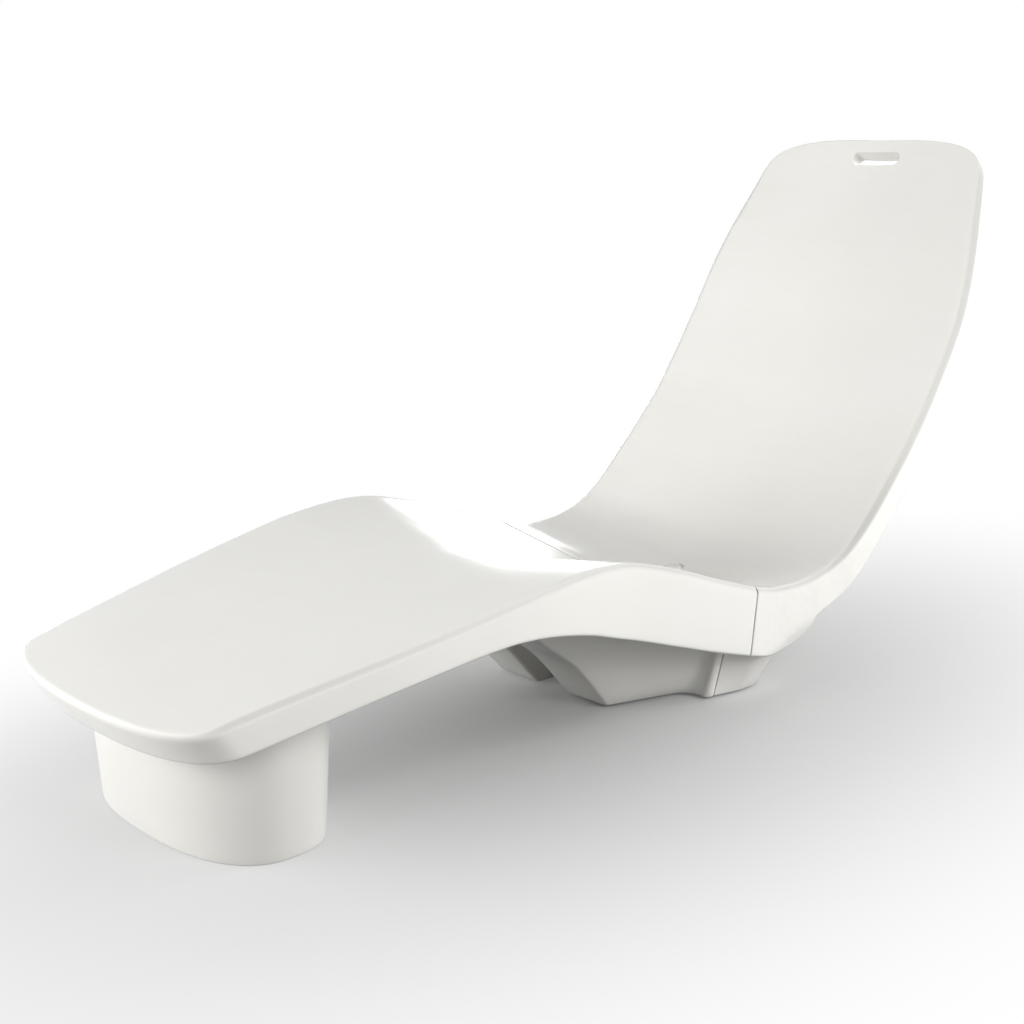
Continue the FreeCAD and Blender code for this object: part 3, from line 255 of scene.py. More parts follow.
# Curves
def smooth_curve(positions, values, where):
    """Cubic through given points, whose slopes are those between each point's neighbours.

    Between two points the cubic takes both values and both slopes, so value and slope run on."""
    where = np.asarray(where, float)
    last = len(positions) - 1
    before = np.maximum(np.arange(last + 1) - 1, 0)
    after = np.minimum(np.arange(last + 1) + 1, last)
    slopes = (values[after] - values[before]) / (positions[after] - positions[before])[:, None]
    index = np.clip(np.searchsorted(positions, where) - 1, 0, last - 1)
    span = (positions[index + 1] - positions[index])[..., None]
    part = (where[..., None] - positions[index][..., None]) / span
    start, end = values[index], values[index + 1]
    bend = (start * (1 + 2 * part) + slopes[index] * span * part) * (1 - part) ** 2
    return bend + (end * (3 - 2 * part) - slopes[index + 1] * span * (1 - part)) * part ** 2


def soft_corner(start, corner, end):
    """Points of the quadratic curve that leaves start and reaches end along the lines to a corner."""
    return [start * (1 - part) ** 2 + corner * 2 * part * (1 - part) + end * part ** 2
            for part in np.linspace(0, 1, CORNER_STEPS)]


def quarter():
    """Sines and cosines of the steps of a quarter turn."""
    angle = np.linspace(0, math.pi / 2, CORNER_STEPS)
    return np.sin(angle), np.cos(angle)


def directions(corners):
    """Unit directions from each corner of a stack of polygons to the one before and the one after."""
    ways = [np.roll(corners, shift, axis=1) - corners for shift in (1, -1)]
    return [way / np.linalg.norm(way, axis=-1, keepdims=True) for way in ways]


def rounded_polygon(corners, radii):
    """Closed outlines with circular corners, for a stack of polygons.

    Each corner is a rational quadratic curve between its two tangent points with the corner as
    middle point and the sine of half its angle as weight, which is exactly an arc. The straight
    sides between the arcs are divided evenly."""
    corners = np.asarray(corners, float)
    radii = np.atleast_2d(radii)[..., None]
    back, ahead = directions(corners)
    half_angle = np.arccos(np.clip((back * ahead).sum(axis=-1, keepdims=True), -1, 1)) / 2
    reach = radii / np.tan(half_angle)
    start, end = corners + back * reach, corners + ahead * reach
    part = np.linspace(0, 1, CORNER_STEPS)[None, None, :, None]
    weight = np.sin(half_angle)[:, :, None, :]
    total = (1 - part) ** 2 + 2 * weight * part * (1 - part) + part ** 2
    arcs = (start[:, :, None] * (1 - part) ** 2 + corners[:, :, None] * 2 * weight * part * (1 - part)
            + end[:, :, None] * part ** 2) / total
    share = np.linspace(0, 1, EDGE_STEPS)[1:-1][None, None, :, None]
    sides = end[:, :, None] * (1 - share) + np.roll(start, -1, axis=1)[:, :, None] * share
    ring = np.concatenate([arcs, sides], axis=2)
    return ring.reshape(corners.shape[0], -1, 2)


def drawn_in(corners, inset):
    """Corners of a stack of polygons moved so that every side moves inwards by the same distance."""
    corners = np.asarray(corners, float)
    back, ahead = directions(corners)
    turn = back[..., 0] * ahead[..., 1] - back[..., 1] * ahead[..., 0]
    turn = turn * np.sign(np.median(turn, axis=1, keepdims=True))
    return corners + (back + ahead) / turn[..., None] * np.asarray(inset)[:, None, None]


# Meshes
def placed(name, data):
    """New object of the scene."""
    item = bpy.data.objects.new(name, data)
    bpy.context.scene.collection.objects.link(item)
    return item


class Sheets:
    """Grids of points gathered into one closed mesh."""

    def __init__(self):
        self.points = []
        self.faces = []
        self.caps = []
        self.shades = []
        self.count = 0

    def grid(self, points, keep=None, closed=False, shade=0.0):
        """Adds a grid of points with faces between neighbours; keep leaves cells out."""
        points = np.asarray(points, float)
        self.shades.append(np.broadcast_to(shade, points.shape[:2]).ravel())
        numbers = self.count + np.arange(points.shape[0] * points.shape[1]).reshape(points.shape[:2])
        self.points.append(points.reshape(-1, 3))
        self.count += numbers.size
        if closed:
            numbers = np.concatenate([numbers, numbers[:, :1]], axis=1)
        cells = np.stack([numbers[:-1, :-1], numbers[:-1, 1:], numbers[1:, 1:], numbers[1:, :-1]], axis=-1)
        self.faces.append(cells.reshape(-1, 4) if keep is None else cells[keep])

    def cap(self, ring):
        """Closes a ring of any shape with one face."""
        self.caps.append(list(range(self.count, self.count + len(ring))))
        self.points.append(ring)
        self.shades.append(np.zeros(len(ring)))
        self.count += len(ring)

    def lid(self, ring):
        """Closes a ring with rings that shrink to its middle."""
        middle = ring.mean(axis=0)
        self.grid(np.stack([ring, (ring + middle) / 2, np.broadcast_to(middle, ring.shape)]), closed=True)

    def piece(self, name, material, node):
        """Welded mesh object with outward faces that rides on the lounger and replaces a node."""
        mesh = bpy.data.meshes.new(name)
        mesh.from_pydata(np.concatenate(self.points), [], np.concatenate(self.faces).tolist() + self.caps)
        # Mask of the painted shade on the rim's bevel band, read by the shell material
        shade = mesh.attributes.new("rim_shade", "FLOAT", "POINT")
        shade.data.foreach_set("value", np.concatenate(self.shades))
        work = bmesh.new()
        work.from_mesh(mesh)
        bmesh.ops.remove_doubles(work, verts=work.verts, dist=WELD)
        bmesh.ops.dissolve_degenerate(work, edges=work.edges, dist=WELD)
        bmesh.ops.recalc_face_normals(work, faces=work.faces)
        if work.calc_volume(signed=True) < 0:
            bmesh.ops.reverse_faces(work, faces=work.faces)
        work.to_mesh(mesh)
        work.free()
        mesh.shade_smooth()
        mesh.set_sharp_from_angle(angle=SHARP_ANGLE)
        mesh.materials.append(material)
        item = placed(name, mesh)
        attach(item, "lounger")
        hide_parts(node)


# The two long skins
class Skin:
    """Long moulded skin from a rounded tip to the seam.

    A station is a distance from the tip along the ridge. A point of the skin is the ridge point
    of its station, moved across by x, and down along the line from the ridge to the lower edge.
    The grid rows run round the tip as a superellipse, then evenly to the seam, then round the
    edge at the seam."""

    def __init__(self, shares, reach, sign, sizes, corner_power, corner_depth, soft_tip):
        high = sizes.full_height
        half = sizes.ridge_half
        rows = shares * np.array([reach, high, half, reach, high, high, high, 1, half])
        rows[:, [0, 3]] = SEAM_Y + sign * rows[:, [0, 3]]
        steps = np.hypot(np.diff(rows[:, 0]), np.diff(rows[:, 1]))
        self.sign = sign
        self.sizes = sizes
        self.rows = rows
        self.stations = np.concatenate([[0.0], np.cumsum(steps)])
        self.length = self.stations[-1] - sizes.seam_gap / 2
        tip = np.linspace(0, math.pi / 2, TIP_ROWS)
        long = np.linspace(0, 1, LONG_ROWS)[1:]
        seam = np.linspace(0, math.pi / 2, SEAM_ROWS)[1:]
        rest = np.zeros(long.size + seam.size)
        self.corner_depth = corner_depth
        self.soft_tip = soft_tip
        self.ahead = np.concatenate([np.maximum(np.cos(tip), 0) ** (2 / corner_power), rest])
        self.ahead[TIP_ROWS - 1] = 0
        self.across = np.concatenate([np.sin(tip) ** (2 / corner_power), rest + 1])
        self.run = np.concatenate([0 * tip, long, 0 * seam + 1])
        turn = np.concatenate([0 * tip, 0 * long, seam])
        self.seam_forward = sizes.seam_round * np.sin(turn)
        self.inset = sizes.seam_round * (1 - np.cos(turn))
        self.side = self.side_grid()

    def row(self, where):
        """Ridge y and z, half width, lower y and z, dish, bulge, fold and bevel at stations."""
        values = smooth_curve(self.stations, self.rows, where)
        return [values[..., index] for index in range(values.shape[-1])]

    def thick(self, where):
        """Distance from the ridge to the lower edge."""
        ridge_y, ridge_z, _, low_y, low_z = self.row(where)[:5]
        return np.hypot(low_y - ridge_y, low_z - ridge_z)

    def place(self, where, x, down):
        """Points at stations, across by x and down by a depth."""
        ridge_y, ridge_z, _, low_y, low_z = self.row(where)[:5]
        share = down / self.thick(where)
        y, z = ridge_y + (low_y - ridge_y) * share, ridge_z + (low_z - ridge_z) * share
        return np.stack([x, y, z], axis=-1)

    def dish(self, where, across):
        """Depth of the top face at a share of the half width: a valley with a rounded middle.

        The rise is a hyperbola from the middle to the ridge, scaled to go from nought to one."""
        soft = DISH_ROUND_SHARE
        rise = (np.sqrt(across ** 2 + soft ** 2) - soft) / (math.sqrt(1 + soft ** 2) - soft)
        return self.row(where)[5] * (1 - rise)

    def belly(self, where, across):
        """Depth of the lower face at a share of the half width: the thickness and the bulge."""
        return self.thick(where) + self.row(where)[6] * (1 - across ** BULGE_POWER)

    def top_down(self, where, x):
        """Depth of the top face at x."""
        return self.dish(where, np.minimum(np.abs(x) / self.row(where)[2], 1))

    def low_down(self, where, x):
        """Depth of the lower face at x."""
        return self.belly(where, np.minimum(np.abs(x) / self.row(where)[2], 1))

    def station(self, out, depth):
        """Stations of the grid rows on lines that stand out by out and have a corner depth."""
        straight = (self.length - self.sizes.seam_round - depth) * self.run[:, None]
        return depth - (depth + out) * self.ahead[:, None] + straight + self.seam_forward[:, None]

    def side_grid(self):
        """Right side as stations, x and depths, from the top face to the lower face.

        The outline in each row is a line with three soft corners: the ridge, the bevel below it
        and the lower edge. Below the fold the side also draws in, by a slope times the depth
        below it, rounded like a hyperbola."""
        sizes = self.sizes
        guess = self.station(0, self.corner_depth)[:, 0]
        top = self.dish(guess, self.across)
        bottom = self.belly(guess, self.across)
        fold, bevel_wide = self.row(guess)[7:]
        low_out = bevel_wide - LEAN_SHARE * (self.thick(guess) - sizes.bevel_deep)
        flat_out = low_out - sizes.low_round
        ridge = np.stack([0 * top, top])
        bevel = np.stack([bevel_wide, top + sizes.bevel_deep])
        low = np.stack([low_out, bottom])

        def toward(one, two, length):
            return one + (two - one) / np.hypot(*(two - one)) * length

        room = np.hypot(*(bevel - ridge)) / (sizes.ridge_round + sizes.bevel_round)
        softer = np.minimum(1 + (self.soft_tip - 1) * self.ahead, RIM_ROOM_SHARE * room)
        line = soft_corner(ridge - np.stack([sizes.ridge_round * softer ** 2, 0 * top]), ridge,
                           toward(ridge, bevel, sizes.ridge_round * softer))
        line += soft_corner(toward(bevel, ridge, sizes.bevel_round * softer), bevel,
                            toward(bevel, low, sizes.bevel_round * softer ** 2))
        start, end = line[-1], toward(low, bevel, sizes.low_round)
        line += [start + (end - start) * part for part in np.linspace(0, 1, SIDE_STEPS)[1:-1]]
        line += soft_corner(end, low, np.stack([flat_out, bottom]))
        out, down = np.stack(line, axis=-1)
        # Painted shade: a mask over the bevel band between the ridge and the corner below it, nought at the
        # tip and weaker on the half of the skin nearer the tip, that darkens the colour there
        shade = np.zeros(len(line))
        shade[:CORNER_STEPS] = np.linspace(0, 1, CORNER_STEPS)
        shade[CORNER_STEPS:2 * CORNER_STEPS] = np.linspace(1, 0, CORNER_STEPS)
        stronger = np.clip((self.run - RIM_FAINT_RUN) / RIM_CHANGE_RUN, 0, 1)
        strength = (1 - self.ahead) * (RIM_FAINT + (1 - RIM_FAINT) * stronger)
        self.rim_shade = shade * strength[:, None]
        folded = down - (top + (bottom - top) * fold)[:, None]
        out -= FOLD_SLOPE * (folded + np.hypot(folded, FOLD_ROUND)) / 2
        share = np.clip((down - top[:, None]) / (bottom - top)[:, None], 0, 1)
        depth = self.corner_depth * (1 + (LOW_CORNER_SHARE - 1) * share)
        where = self.station(out, depth)
        inset = self.inset[:, None]
        across = np.broadcast_to(self.across[:, None], where.shape)
        x = (self.row(where)[2] + out - inset) * across
        high, deep = self.dish(where, across), self.belly(where, across)
        return where, x, high + (deep - high) * share + inset * (1 - 2 * share)

    def face_grid(self, below):
        """Top or lower face as stations, x and depths from the left edge to the right.

        Each row is straight across and ends on the first or last line of the side."""
        where, edge, edge_down = [values[:, -1 if below else 0] for values in self.side]
        x = edge[:, None] * np.linspace(-1, 1, COLUMNS + 1)[None, :]
        where = np.repeat(where[:, None], COLUMNS + 1, axis=1)
        if below:
            down = self.low_down(where, x) - self.inset[:, None]
        else:
            down = self.top_down(where, x) + self.inset[:, None]
        down[:, 0] = edge_down
        down[:, -1] = edge_down
        return where, x, down

    def sheets(self, holes=()):
        """Closed skin: both faces, both sides and the flat end at the seam.

        A hole takes cells out of the two faces and adds its own patches and walls."""
        sheets = Sheets()
        grids = [self.face_grid(False), self.face_grid(True)]
        kept = [np.ones((grid[0].shape[0] - 1, COLUMNS), bool) for grid in grids]
        for hole in holes:
            hole(self, sheets, grids, kept)
        top, low = [self.place(*grid) for grid in grids]
        right = self.place(*self.side)
        left = right * np.array([-1, 1, 1])
        sheets.grid(top, kept[0])
        sheets.grid(low, kept[1])
        sheets.grid(right, shade=self.rim_shade)
        sheets.grid(left, shade=self.rim_shade)
        sheets.lid(np.concatenate([top[-1], right[-1, 1:], low[-1, ::-1][1:], left[-1, ::-1][1:-1]]))
        return sheets

    def station_at(self, x, y, depth_of):
        """Stations at which a face passes over given places on the floor plan."""
        where = np.interp(self.sign * y, self.sign * self.rows[::-1, 0], self.stations[::-1]) + 0 * x
        for _ in range(STATION_STEPS):
            where = where + self.sign * (self.place(where, x, depth_of(where, x))[:, 1] - y)
        return where

    def low_line(self):
        """Lower edge as y and z, for what meets the underside."""
        order = np.argsort(self.rows[:, 3])
        places = np.linspace(self.rows[order[0], 3], self.rows[order[-1], 3], FINE_STEPS)
        return places, smooth_curve(self.rows[order, 3], self.rows[order], places)[:, 4]

    def middle_line(self):
        """Line half way through the thickness as y and z."""
        rows = np.stack(self.row(np.linspace(0, self.stations[-1], FINE_STEPS)), axis=-1)
        y, z = (rows[:, 0] + rows[:, 3]) / 2, (rows[:, 1] - rows[:, 5] + rows[:, 4]) / 2
        order = np.argsort(y)
        return y[order], z[order]


# Holes in the skins
def border_of(rows, columns):
    """Row and column numbers round a window of a grid, and their places on a square of side two."""
    across, down = np.arange(*columns), np.arange(*rows)
    row = np.concatenate([0 * across + rows[0], down, 0 * across + rows[1], down[::-1] + 1])
    column = np.concatenate([across, 0 * down + columns[1], across[::-1] + 1, 0 * down + columns[0]])
    places = [(row - rows[0]) / (rows[1] - rows[0]), (column - columns[0]) / (columns[1] - columns[0])]
    return row, column, np.stack(places, axis=-1) * 2 - 1


def matched_ring(square, half_down, half_across, radius):
    """Rounded rectangle matched to places on a square: corner middles and outward directions.

    Along a side of the square the point runs along the straight; near a corner it stands at the
    middle of the rounding while its direction turns by up to 45 degrees."""
    down_side = np.abs(square[:, 0]) >= np.abs(square[:, 1])
    main = np.sign(np.where(down_side, square[:, 0], square[:, 1]))
    along = np.where(down_side, square[:, 1], square[:, 0])
    run = np.clip(along / SQUARE_CORNER, -1, 1)
    turn = np.sign(along) * np.clip((np.abs(along) - SQUARE_CORNER) / (1 - SQUARE_CORNER), 0, 1) * math.pi / 4
    core = np.stack([np.where(down_side, main, run) * (half_down - radius),
                     np.where(down_side, run, main) * (half_across - radius)], axis=-1)
    outward = np.stack([np.where(down_side, main * np.cos(turn), np.sin(turn)),
                        np.where(down_side, np.sin(turn), main * np.cos(turn))], axis=-1)
    return core, outward


def patch(sheets, skin, grid, border, outline, depth_of):
    """Faces from the border of a window to an outline of stations and x that lie on the face.

    Ring by ring the places go in equal shares from the border to the outline."""
    row, column = border
    outer = np.stack([grid[0][row, column], grid[1][row, column]], axis=-1)
    share = np.linspace(0, 1, PATCH_RINGS)[:, None, None]
    places = outer * (1 - share) + outline * share
    rings = skin.place(places[..., 0], places[..., 1], depth_of(places[..., 0], places[..., 1]))
    rings[0] = skin.place(*[values[row, column] for values in grid])
    sheets.grid(rings, closed=True)


def hand_slot(skin, sheets, grids, kept):
    """Slot through the head for the fingers, with a rounded lip on both faces."""
    sizes = skin.sizes
    margin = SLOT_MARGIN * sizes.slot_lip
    where, x = grids[0][0][:, 0], grids[0][1]
    rows = np.searchsorted(where, [sizes.slot_drop - sizes.slot_high / 2 - margin,
                                   sizes.slot_drop + sizes.slot_high / 2 + margin])
    rows[0] -= 1
    right = np.searchsorted(x[rows.sum() // 2], sizes.slot_half + 2 * margin)
    columns = (COLUMNS - right, right)
    row, column, square = border_of(rows, columns)
    core, outward = matched_ring(square, sizes.slot_high / 2, sizes.slot_half, sizes.slot_round)
    edges = []
    for grid, kept_cells, depth_of, sign in zip(grids, kept, (skin.top_down, skin.low_down), (1, -1)):
        kept_cells[rows[0]:rows[1], columns[0]:columns[1]] = False

        def outline(grow):
            return np.array([sizes.slot_drop, 0]) + core + outward * (sizes.slot_round + grow)

        patch(sheets, skin, grid, (row, column), outline(sizes.slot_lip), depth_of)
        lip = []
        for sine, cosine in zip(*quarter()):
            at = outline(sizes.slot_lip * (1 - sine)).T
            lip.append(skin.place(*at, depth_of(*at) + sign * sizes.slot_lip * (1 - cosine)))
        sheets.grid(np.stack(lip), closed=True)
        edges.append(lip[-1])
    share = np.linspace(0, 1, SIDE_STEPS)[:, None, None]
    sheets.grid(edges[0] * (1 - share) + edges[1] * share, closed=True)


def drain_hole(skin, sheets, grids, kept):
    """Stepped round hole for the drain: a seat for its flange and a tube to the underside."""
    sizes = skin.sizes
    middle = (DRAIN_LOW + DRAIN_HIGH) / 2
    edges = []
    for grid, kept_cells, depth_of, radius in zip(grids, kept, (skin.top_down, skin.low_down),
                                                  (sizes.drain_recess + sizes.drain_lip, sizes.drain_tube)):
        points = skin.place(*grid)
        row = int(np.abs(points[:, COLUMNS // 2, 1] - middle.y).argmin())
        rows = (row - DRAIN_CELLS, row + DRAIN_CELLS)
        columns = (COLUMNS // 2 - DRAIN_CELLS // 2 - 1, COLUMNS // 2 + DRAIN_CELLS // 2 + 1)
        row, column, square = border_of(rows, columns)
        kept_cells[rows[0]:rows[1], columns[0]:columns[1]] = False
        core, outward = matched_ring(square, radius, radius, radius)
        angle = np.arctan2(outward[:, 1], -outward[:, 0])
        x, y = radius * np.sin(angle), middle.y + radius * np.cos(angle)
        where = skin.station_at(x, y, depth_of)
        patch(sheets, skin, grid, (row, column), np.stack([where, x], axis=-1), depth_of)
        edges.append(skin.place(where, x, depth_of(where, x)))
    upper, lower = edges
    flat = (upper - [0, middle.y, 0]) * [1, 1, 0] / (sizes.drain_recess + sizes.drain_lip)
    floor_z = DRAIN_HIGH.z - DRAIN_SEAT

    def circle(radius, z):
        ring = flat * radius + [0, middle.y, 0]
        ring[:, 2] = z
        return ring

    lip = sizes.drain_lip
    rings = [circle(sizes.drain_recess + lip * (1 - sine), upper[:, 2] - lip * (1 - cosine))
             for sine, cosine in zip(*quarter())]
    rings += [circle(sizes.drain_recess, floor_z), circle(sizes.drain_tube, floor_z), lower]
    sheets.grid(np.stack(rings), closed=True)


# Base and pedestal
def rim_levels(sizes, heights):
    """Insets and heights of the levels of a column: round its lower edge, then up."""
    sine, cosine = quarter()
    inset = np.concatenate([sizes.base_round * (1 - sine), 0 * heights])
    level = np.concatenate([sizes.floor_gap + sizes.base_round * (1 - cosine), heights])
    return inset, level


def lobe_sheets(sheets, sizes, side, middle_line):
    """Lobe and half of the seam rib as one column of rings that ends inside the seat.

    The front sweeps forward with the height as its table says, the side widens by a power of it,
    and a hollow rounding joins the side to the rib."""
    share = np.linspace(0, 1, LEVELS)[1:]
    straight_high = sizes.lobe_high - sizes.base_round
    inset, level = rim_levels(sizes, sizes.floor_gap + sizes.base_round + share * straight_high)
    height_share = np.clip((level - sizes.floor_gap) / sizes.lobe_high, 0, 1)
    sweep = smooth_curve(LOBE_SHARES[:, 0], LOBE_SHARES[:, 1:], height_share)[:, 0] * sizes.lobe_sweep
    flare = height_share ** LOBE_FLARE_POWER * sizes.lobe_flare
    front, hollow = SEAM_Y - sizes.lobe_reach - sweep, SEAM_Y - sizes.rib_long
    rear = SEAM_Y - sizes.seam_gap / 2
    front_out = sizes.lobe_half + flare * LOBE_FRONT_SHARE
    hollow_out = sizes.lobe_rear_half + flare
    rib_out = np.maximum(sizes.rib_half + sizes.base_flare * level / sizes.base_high, hollow_out + sizes.wall)
    places = ((sizes.channel_half, front), (front_out, front), (hollow_out, hollow), (rib_out, hollow),
              (rib_out, rear), (sizes.channel_half, rear))
    corners = np.stack([np.stack([x + 0 * level, y + 0 * level], axis=-1) for x, y in places], axis=1)
    radii = np.broadcast_to([LOBE_INNER_ROUND, LOBE_ROUND, 0, 0, sizes.seam_round, sizes.seam_round],
                            (level.size, len(places))).copy()
    room = rib_out - hollow_out
    radii[:, 2] = np.minimum(sizes.cove_round, room * COVE_ROOM_SHARE)
    radii[:, 3] = np.minimum(sizes.rib_round, room * RIB_ROOM_SHARE)
    ring = rounded_polygon(drawn_in(corners, inset), radii)
    middle = np.interp(ring[..., 1], *middle_line)
    height = np.minimum(level[:, None], middle + HIDDEN_RISE * (level[:, None] - middle))
    points = np.stack([side * ring[..., 0], ring[..., 1], height], axis=-1)
    sheets.grid(points, closed=True)
    sheets.cap(points[0])
    sheets.cap(points[-1])


def slab_sheets(sheets, sizes, corners_low, corners_high, radii, top, pocket=None):
    """Upright slab between two outlines with rounded corners and foot, and a pocket if asked."""
    heights = np.linspace(sizes.floor_gap + sizes.base_round, top, LEVELS // 2)[1:]
    inset, level = rim_levels(sizes, heights)
    share = ((level - sizes.floor_gap) / (top - sizes.floor_gap))[:, None, None]
    corners = np.array(corners_low) * (1 - share) + np.array(corners_high) * share
    ring = rounded_polygon(drawn_in(corners, inset), radii)
    points = np.concatenate([ring, np.broadcast_to(level[:, None, None], ring.shape[:2] + (1,))], axis=-1)
    sheets.grid(points, closed=True)
    sheets.lid(points[-1])
    if pocket is None:
        sheets.lid(points[0])
        return
    hollow = rounded_polygon(np.array(pocket)[None], sizes.wall)[0]
    mouth = np.concatenate([hollow, 0 * hollow[:, :1] + sizes.floor_gap], axis=-1)
    roof = mouth + [0, 0, sizes.pocket_high]
    sheets.grid(np.stack([points[0], (points[0] + mouth) / 2, mouth, roof]), closed=True)
    sheets.lid(roof)


def mirrored(right):
    """Closed outline from the points of its right half, given from the front to the rear."""
    left = [(-x, y) for x, y in right]
    return left[:1] + right + left[:0:-1]


def pedestal_sheets(sizes, low_line):
    """Hollow column under the leg rest, cut to the slope above it.

    Every level is a superellipse that widens upwards; the column's height at each point is a
    share of the height of the leg rest's underside there."""
    angle = np.linspace(0, 2 * math.pi, RING_POINTS, endpoint=False)
    power = 2 / PEDESTAL_POWER
    across = np.sign(np.cos(angle)) * np.abs(np.cos(angle)) ** power
    along = np.sign(np.sin(angle)) * np.abs(np.sin(angle)) ** power
    middle = SEAM_Y - sizes.pedestal_front + sizes.pedestal_long / 2
    full = sizes.full_height * PEDESTAL_TOP_SHARE

    def ring(inset, height):
        grow = sizes.pedestal_flare * height / full - inset
        x, y = (sizes.pedestal_half + grow) * across, middle + (sizes.pedestal_long / 2 + grow) * along
        return np.stack([x, y, height + 0 * across], axis=-1)

    def under(inset, drop):
        height = full + 0 * across
        for _ in range(STATION_STEPS):
            height = np.interp(ring(inset, height)[:, 1], *low_line) - drop
        return ring(inset, height)

    sine, cosine = quarter()
    lip, groove = sizes.pedestal_lip, sizes.pedestal_groove
    rings = [ring(lip * (1 - s), sizes.lip_gap + lip * (1 - c)) for s, c in zip(sine, cosine)]
    foot, shoulder = rings[-1], under(0, groove)
    for share in np.linspace(0, 1, LEVELS)[1:]:
        rings.append(foot * (1 - share) + shoulder * share)
    rings += [under(groove * (1 - c), groove * (1 - s)) for s, c in zip(sine[1:], cosine[1:])]
    sheets = Sheets()
    sheets.grid(np.stack(rings), closed=True)
    sheets.lid(rings[-1])
    inner_foot = ring(sizes.wall, sizes.floor_gap)
    inner_top = under(sizes.wall, sizes.wall)
    sheets.grid(np.stack([rings[0], ring(lip, sizes.floor_gap), inner_foot]), closed=True)
    share = np.linspace(0, 1, LEVELS)[:, None, None]
    sheets.grid(inner_foot * (1 - share) + inner_top * share, closed=True)
    sheets.lid(inner_top)
    return sheets


# Materials
SHELL_ROUGH = 0.18
SHELL_SPREAD = 0.02
PEDESTAL_ROUGH = 0.32
FITTING_ROUGH = 0.34
FITTING_SPREAD = 0.04
RUBBER_SPREAD = 0.06
LATHE_LOW = 0.06
LATHE_HIGH = 0.1
# Strength of the light that the plastics throw back
PLASTIC_IOR = 1.49
SHELL_SPECULAR = 0.4
# Tones that the colours are multiplied by, and the depth of the broad waves in metres
# The rim's tone is painted shade: it darkens the bevel band below the ridge
RIM_PAINTED_SHADE = (0.64, 0.64, 0.64)
FLECK_TONE = (0.994, 0.994, 0.994)
WHITE = (1.0, 1.0, 1.0)
DUST_SHARE = 1.8
DUST_LIFT = 0.01
TARNISH_SHARE = 0.82
FLOW_SHARE = 0.95
WAVE_DEEP = 0.0012
BACK_WAVE_DEEP = 0.003
# Waves per metre along each axis
EVEN_RIPPLE = (7.0, 14.0, 14.0)
BACK_RIPPLE = (4.0, 26.0, 26.0)
PEDESTAL_RIPPLE = (9.0, 9.0, 5.0)
LATHE_LINES = (400.0, 3000.0, 3000.0)


class Nodes:
    """Small helper that adds and links the nodes of a material or of the world."""

    def __init__(self, owner):
        owner.use_nodes = True
        self.owner = owner
        self.tree = owner.node_tree
        self.shader = self.tree.nodes.get("Principled BSDF") or self.tree.nodes["Background"]
        self.coordinates = self.add("ShaderNodeTexCoord").outputs
        self.place = self.coordinates["Object"]

    def feed(self, socket, value):
        """Links a socket to the output of a node, or gives it a plain value."""
        if isinstance(value, bpy.types.NodeSocket):
            self.tree.links.new(value, socket)
        else:
            socket.default_value = value

    def add(self, kind, inputs=None, **settings):
        """New node with its settings, and what feeds its inputs by name or number."""
        node = self.tree.nodes.new(kind)
        for name, value in settings.items():
            setattr(node, name, value)
        for name, value in (inputs or {}).items():
            self.feed(node.inputs[name], value)
        return node

    def stretched(self, scale, move=(0.0, 0.0, 0.0)):
        """Object coordinates scaled differently along each axis, then moved."""
        inputs = {"Vector": self.place, "Scale": scale, "Location": move}
        return self.add("ShaderNodeMapping", inputs).outputs["Vector"]

    def noise(self, scale, detail=2.0, rough=0.5, vector=None):
        """Value of a noise with a number of waves per metre."""
        inputs = {"Scale": scale, "Detail": detail, "Roughness": rough, "Vector": vector or self.place}
        return self.add("ShaderNodeTexNoise", inputs).outputs["Fac"]

    def ranged(self, value, low, high, start=0.3, end=0.7, course="LINEAR"):
        """Value between start and end turned into low to high."""
        inputs = {"Value": value, "From Min": start, "From Max": end, "To Min": low, "To Max": high}
        return self.add("ShaderNodeMapRange", inputs, interpolation_type=course).outputs["Result"]

    def mixed(self, share, one, two, blend="MIX"):
        """Colour between two colours by a share, or the first multiplied by the second."""
        ends = [end if isinstance(end, bpy.types.NodeSocket) else (*end[:3], 1.0) for end in (one, two)]
        inputs = {"Factor": share, 6: ends[0], 7: ends[1]}
        return self.add("ShaderNodeMix", inputs, data_type="RGBA", blend_type=blend).outputs[2]

    def worked(self, operation, one, two):
        """Result of an operation on two numbers."""
        return self.add("ShaderNodeMath", {0: one, 1: two}, operation=operation).outputs[0]

    def bump(self, value, distance, strength=0.5, below=None):
        """Surface relief of a height in metres, laid over another relief."""
        node = self.add("ShaderNodeBump", {"Height": value, "Distance": distance, "Strength": strength})
        if below is not None:
            self.feed(node.inputs["Normal"], below)
        return node.outputs["Normal"]

    def ray(self, kind):
        """1 on a ray of that kind."""
        return self.add("ShaderNodeLightPath").outputs[f"Is {kind} Ray"]

    def shown(self):
        """1 where the camera or a reflection looks, 0 where light falls on something."""
        return self.worked("MAXIMUM", self.ray("Camera"), self.ray("Glossy"))

    def finish(self, **values):
        """Sets plain values and links on the shader's own sockets."""
        for name, value in values.items():
            self.feed(self.shader.inputs[name.replace("_", " ")], value)
        return self.owner


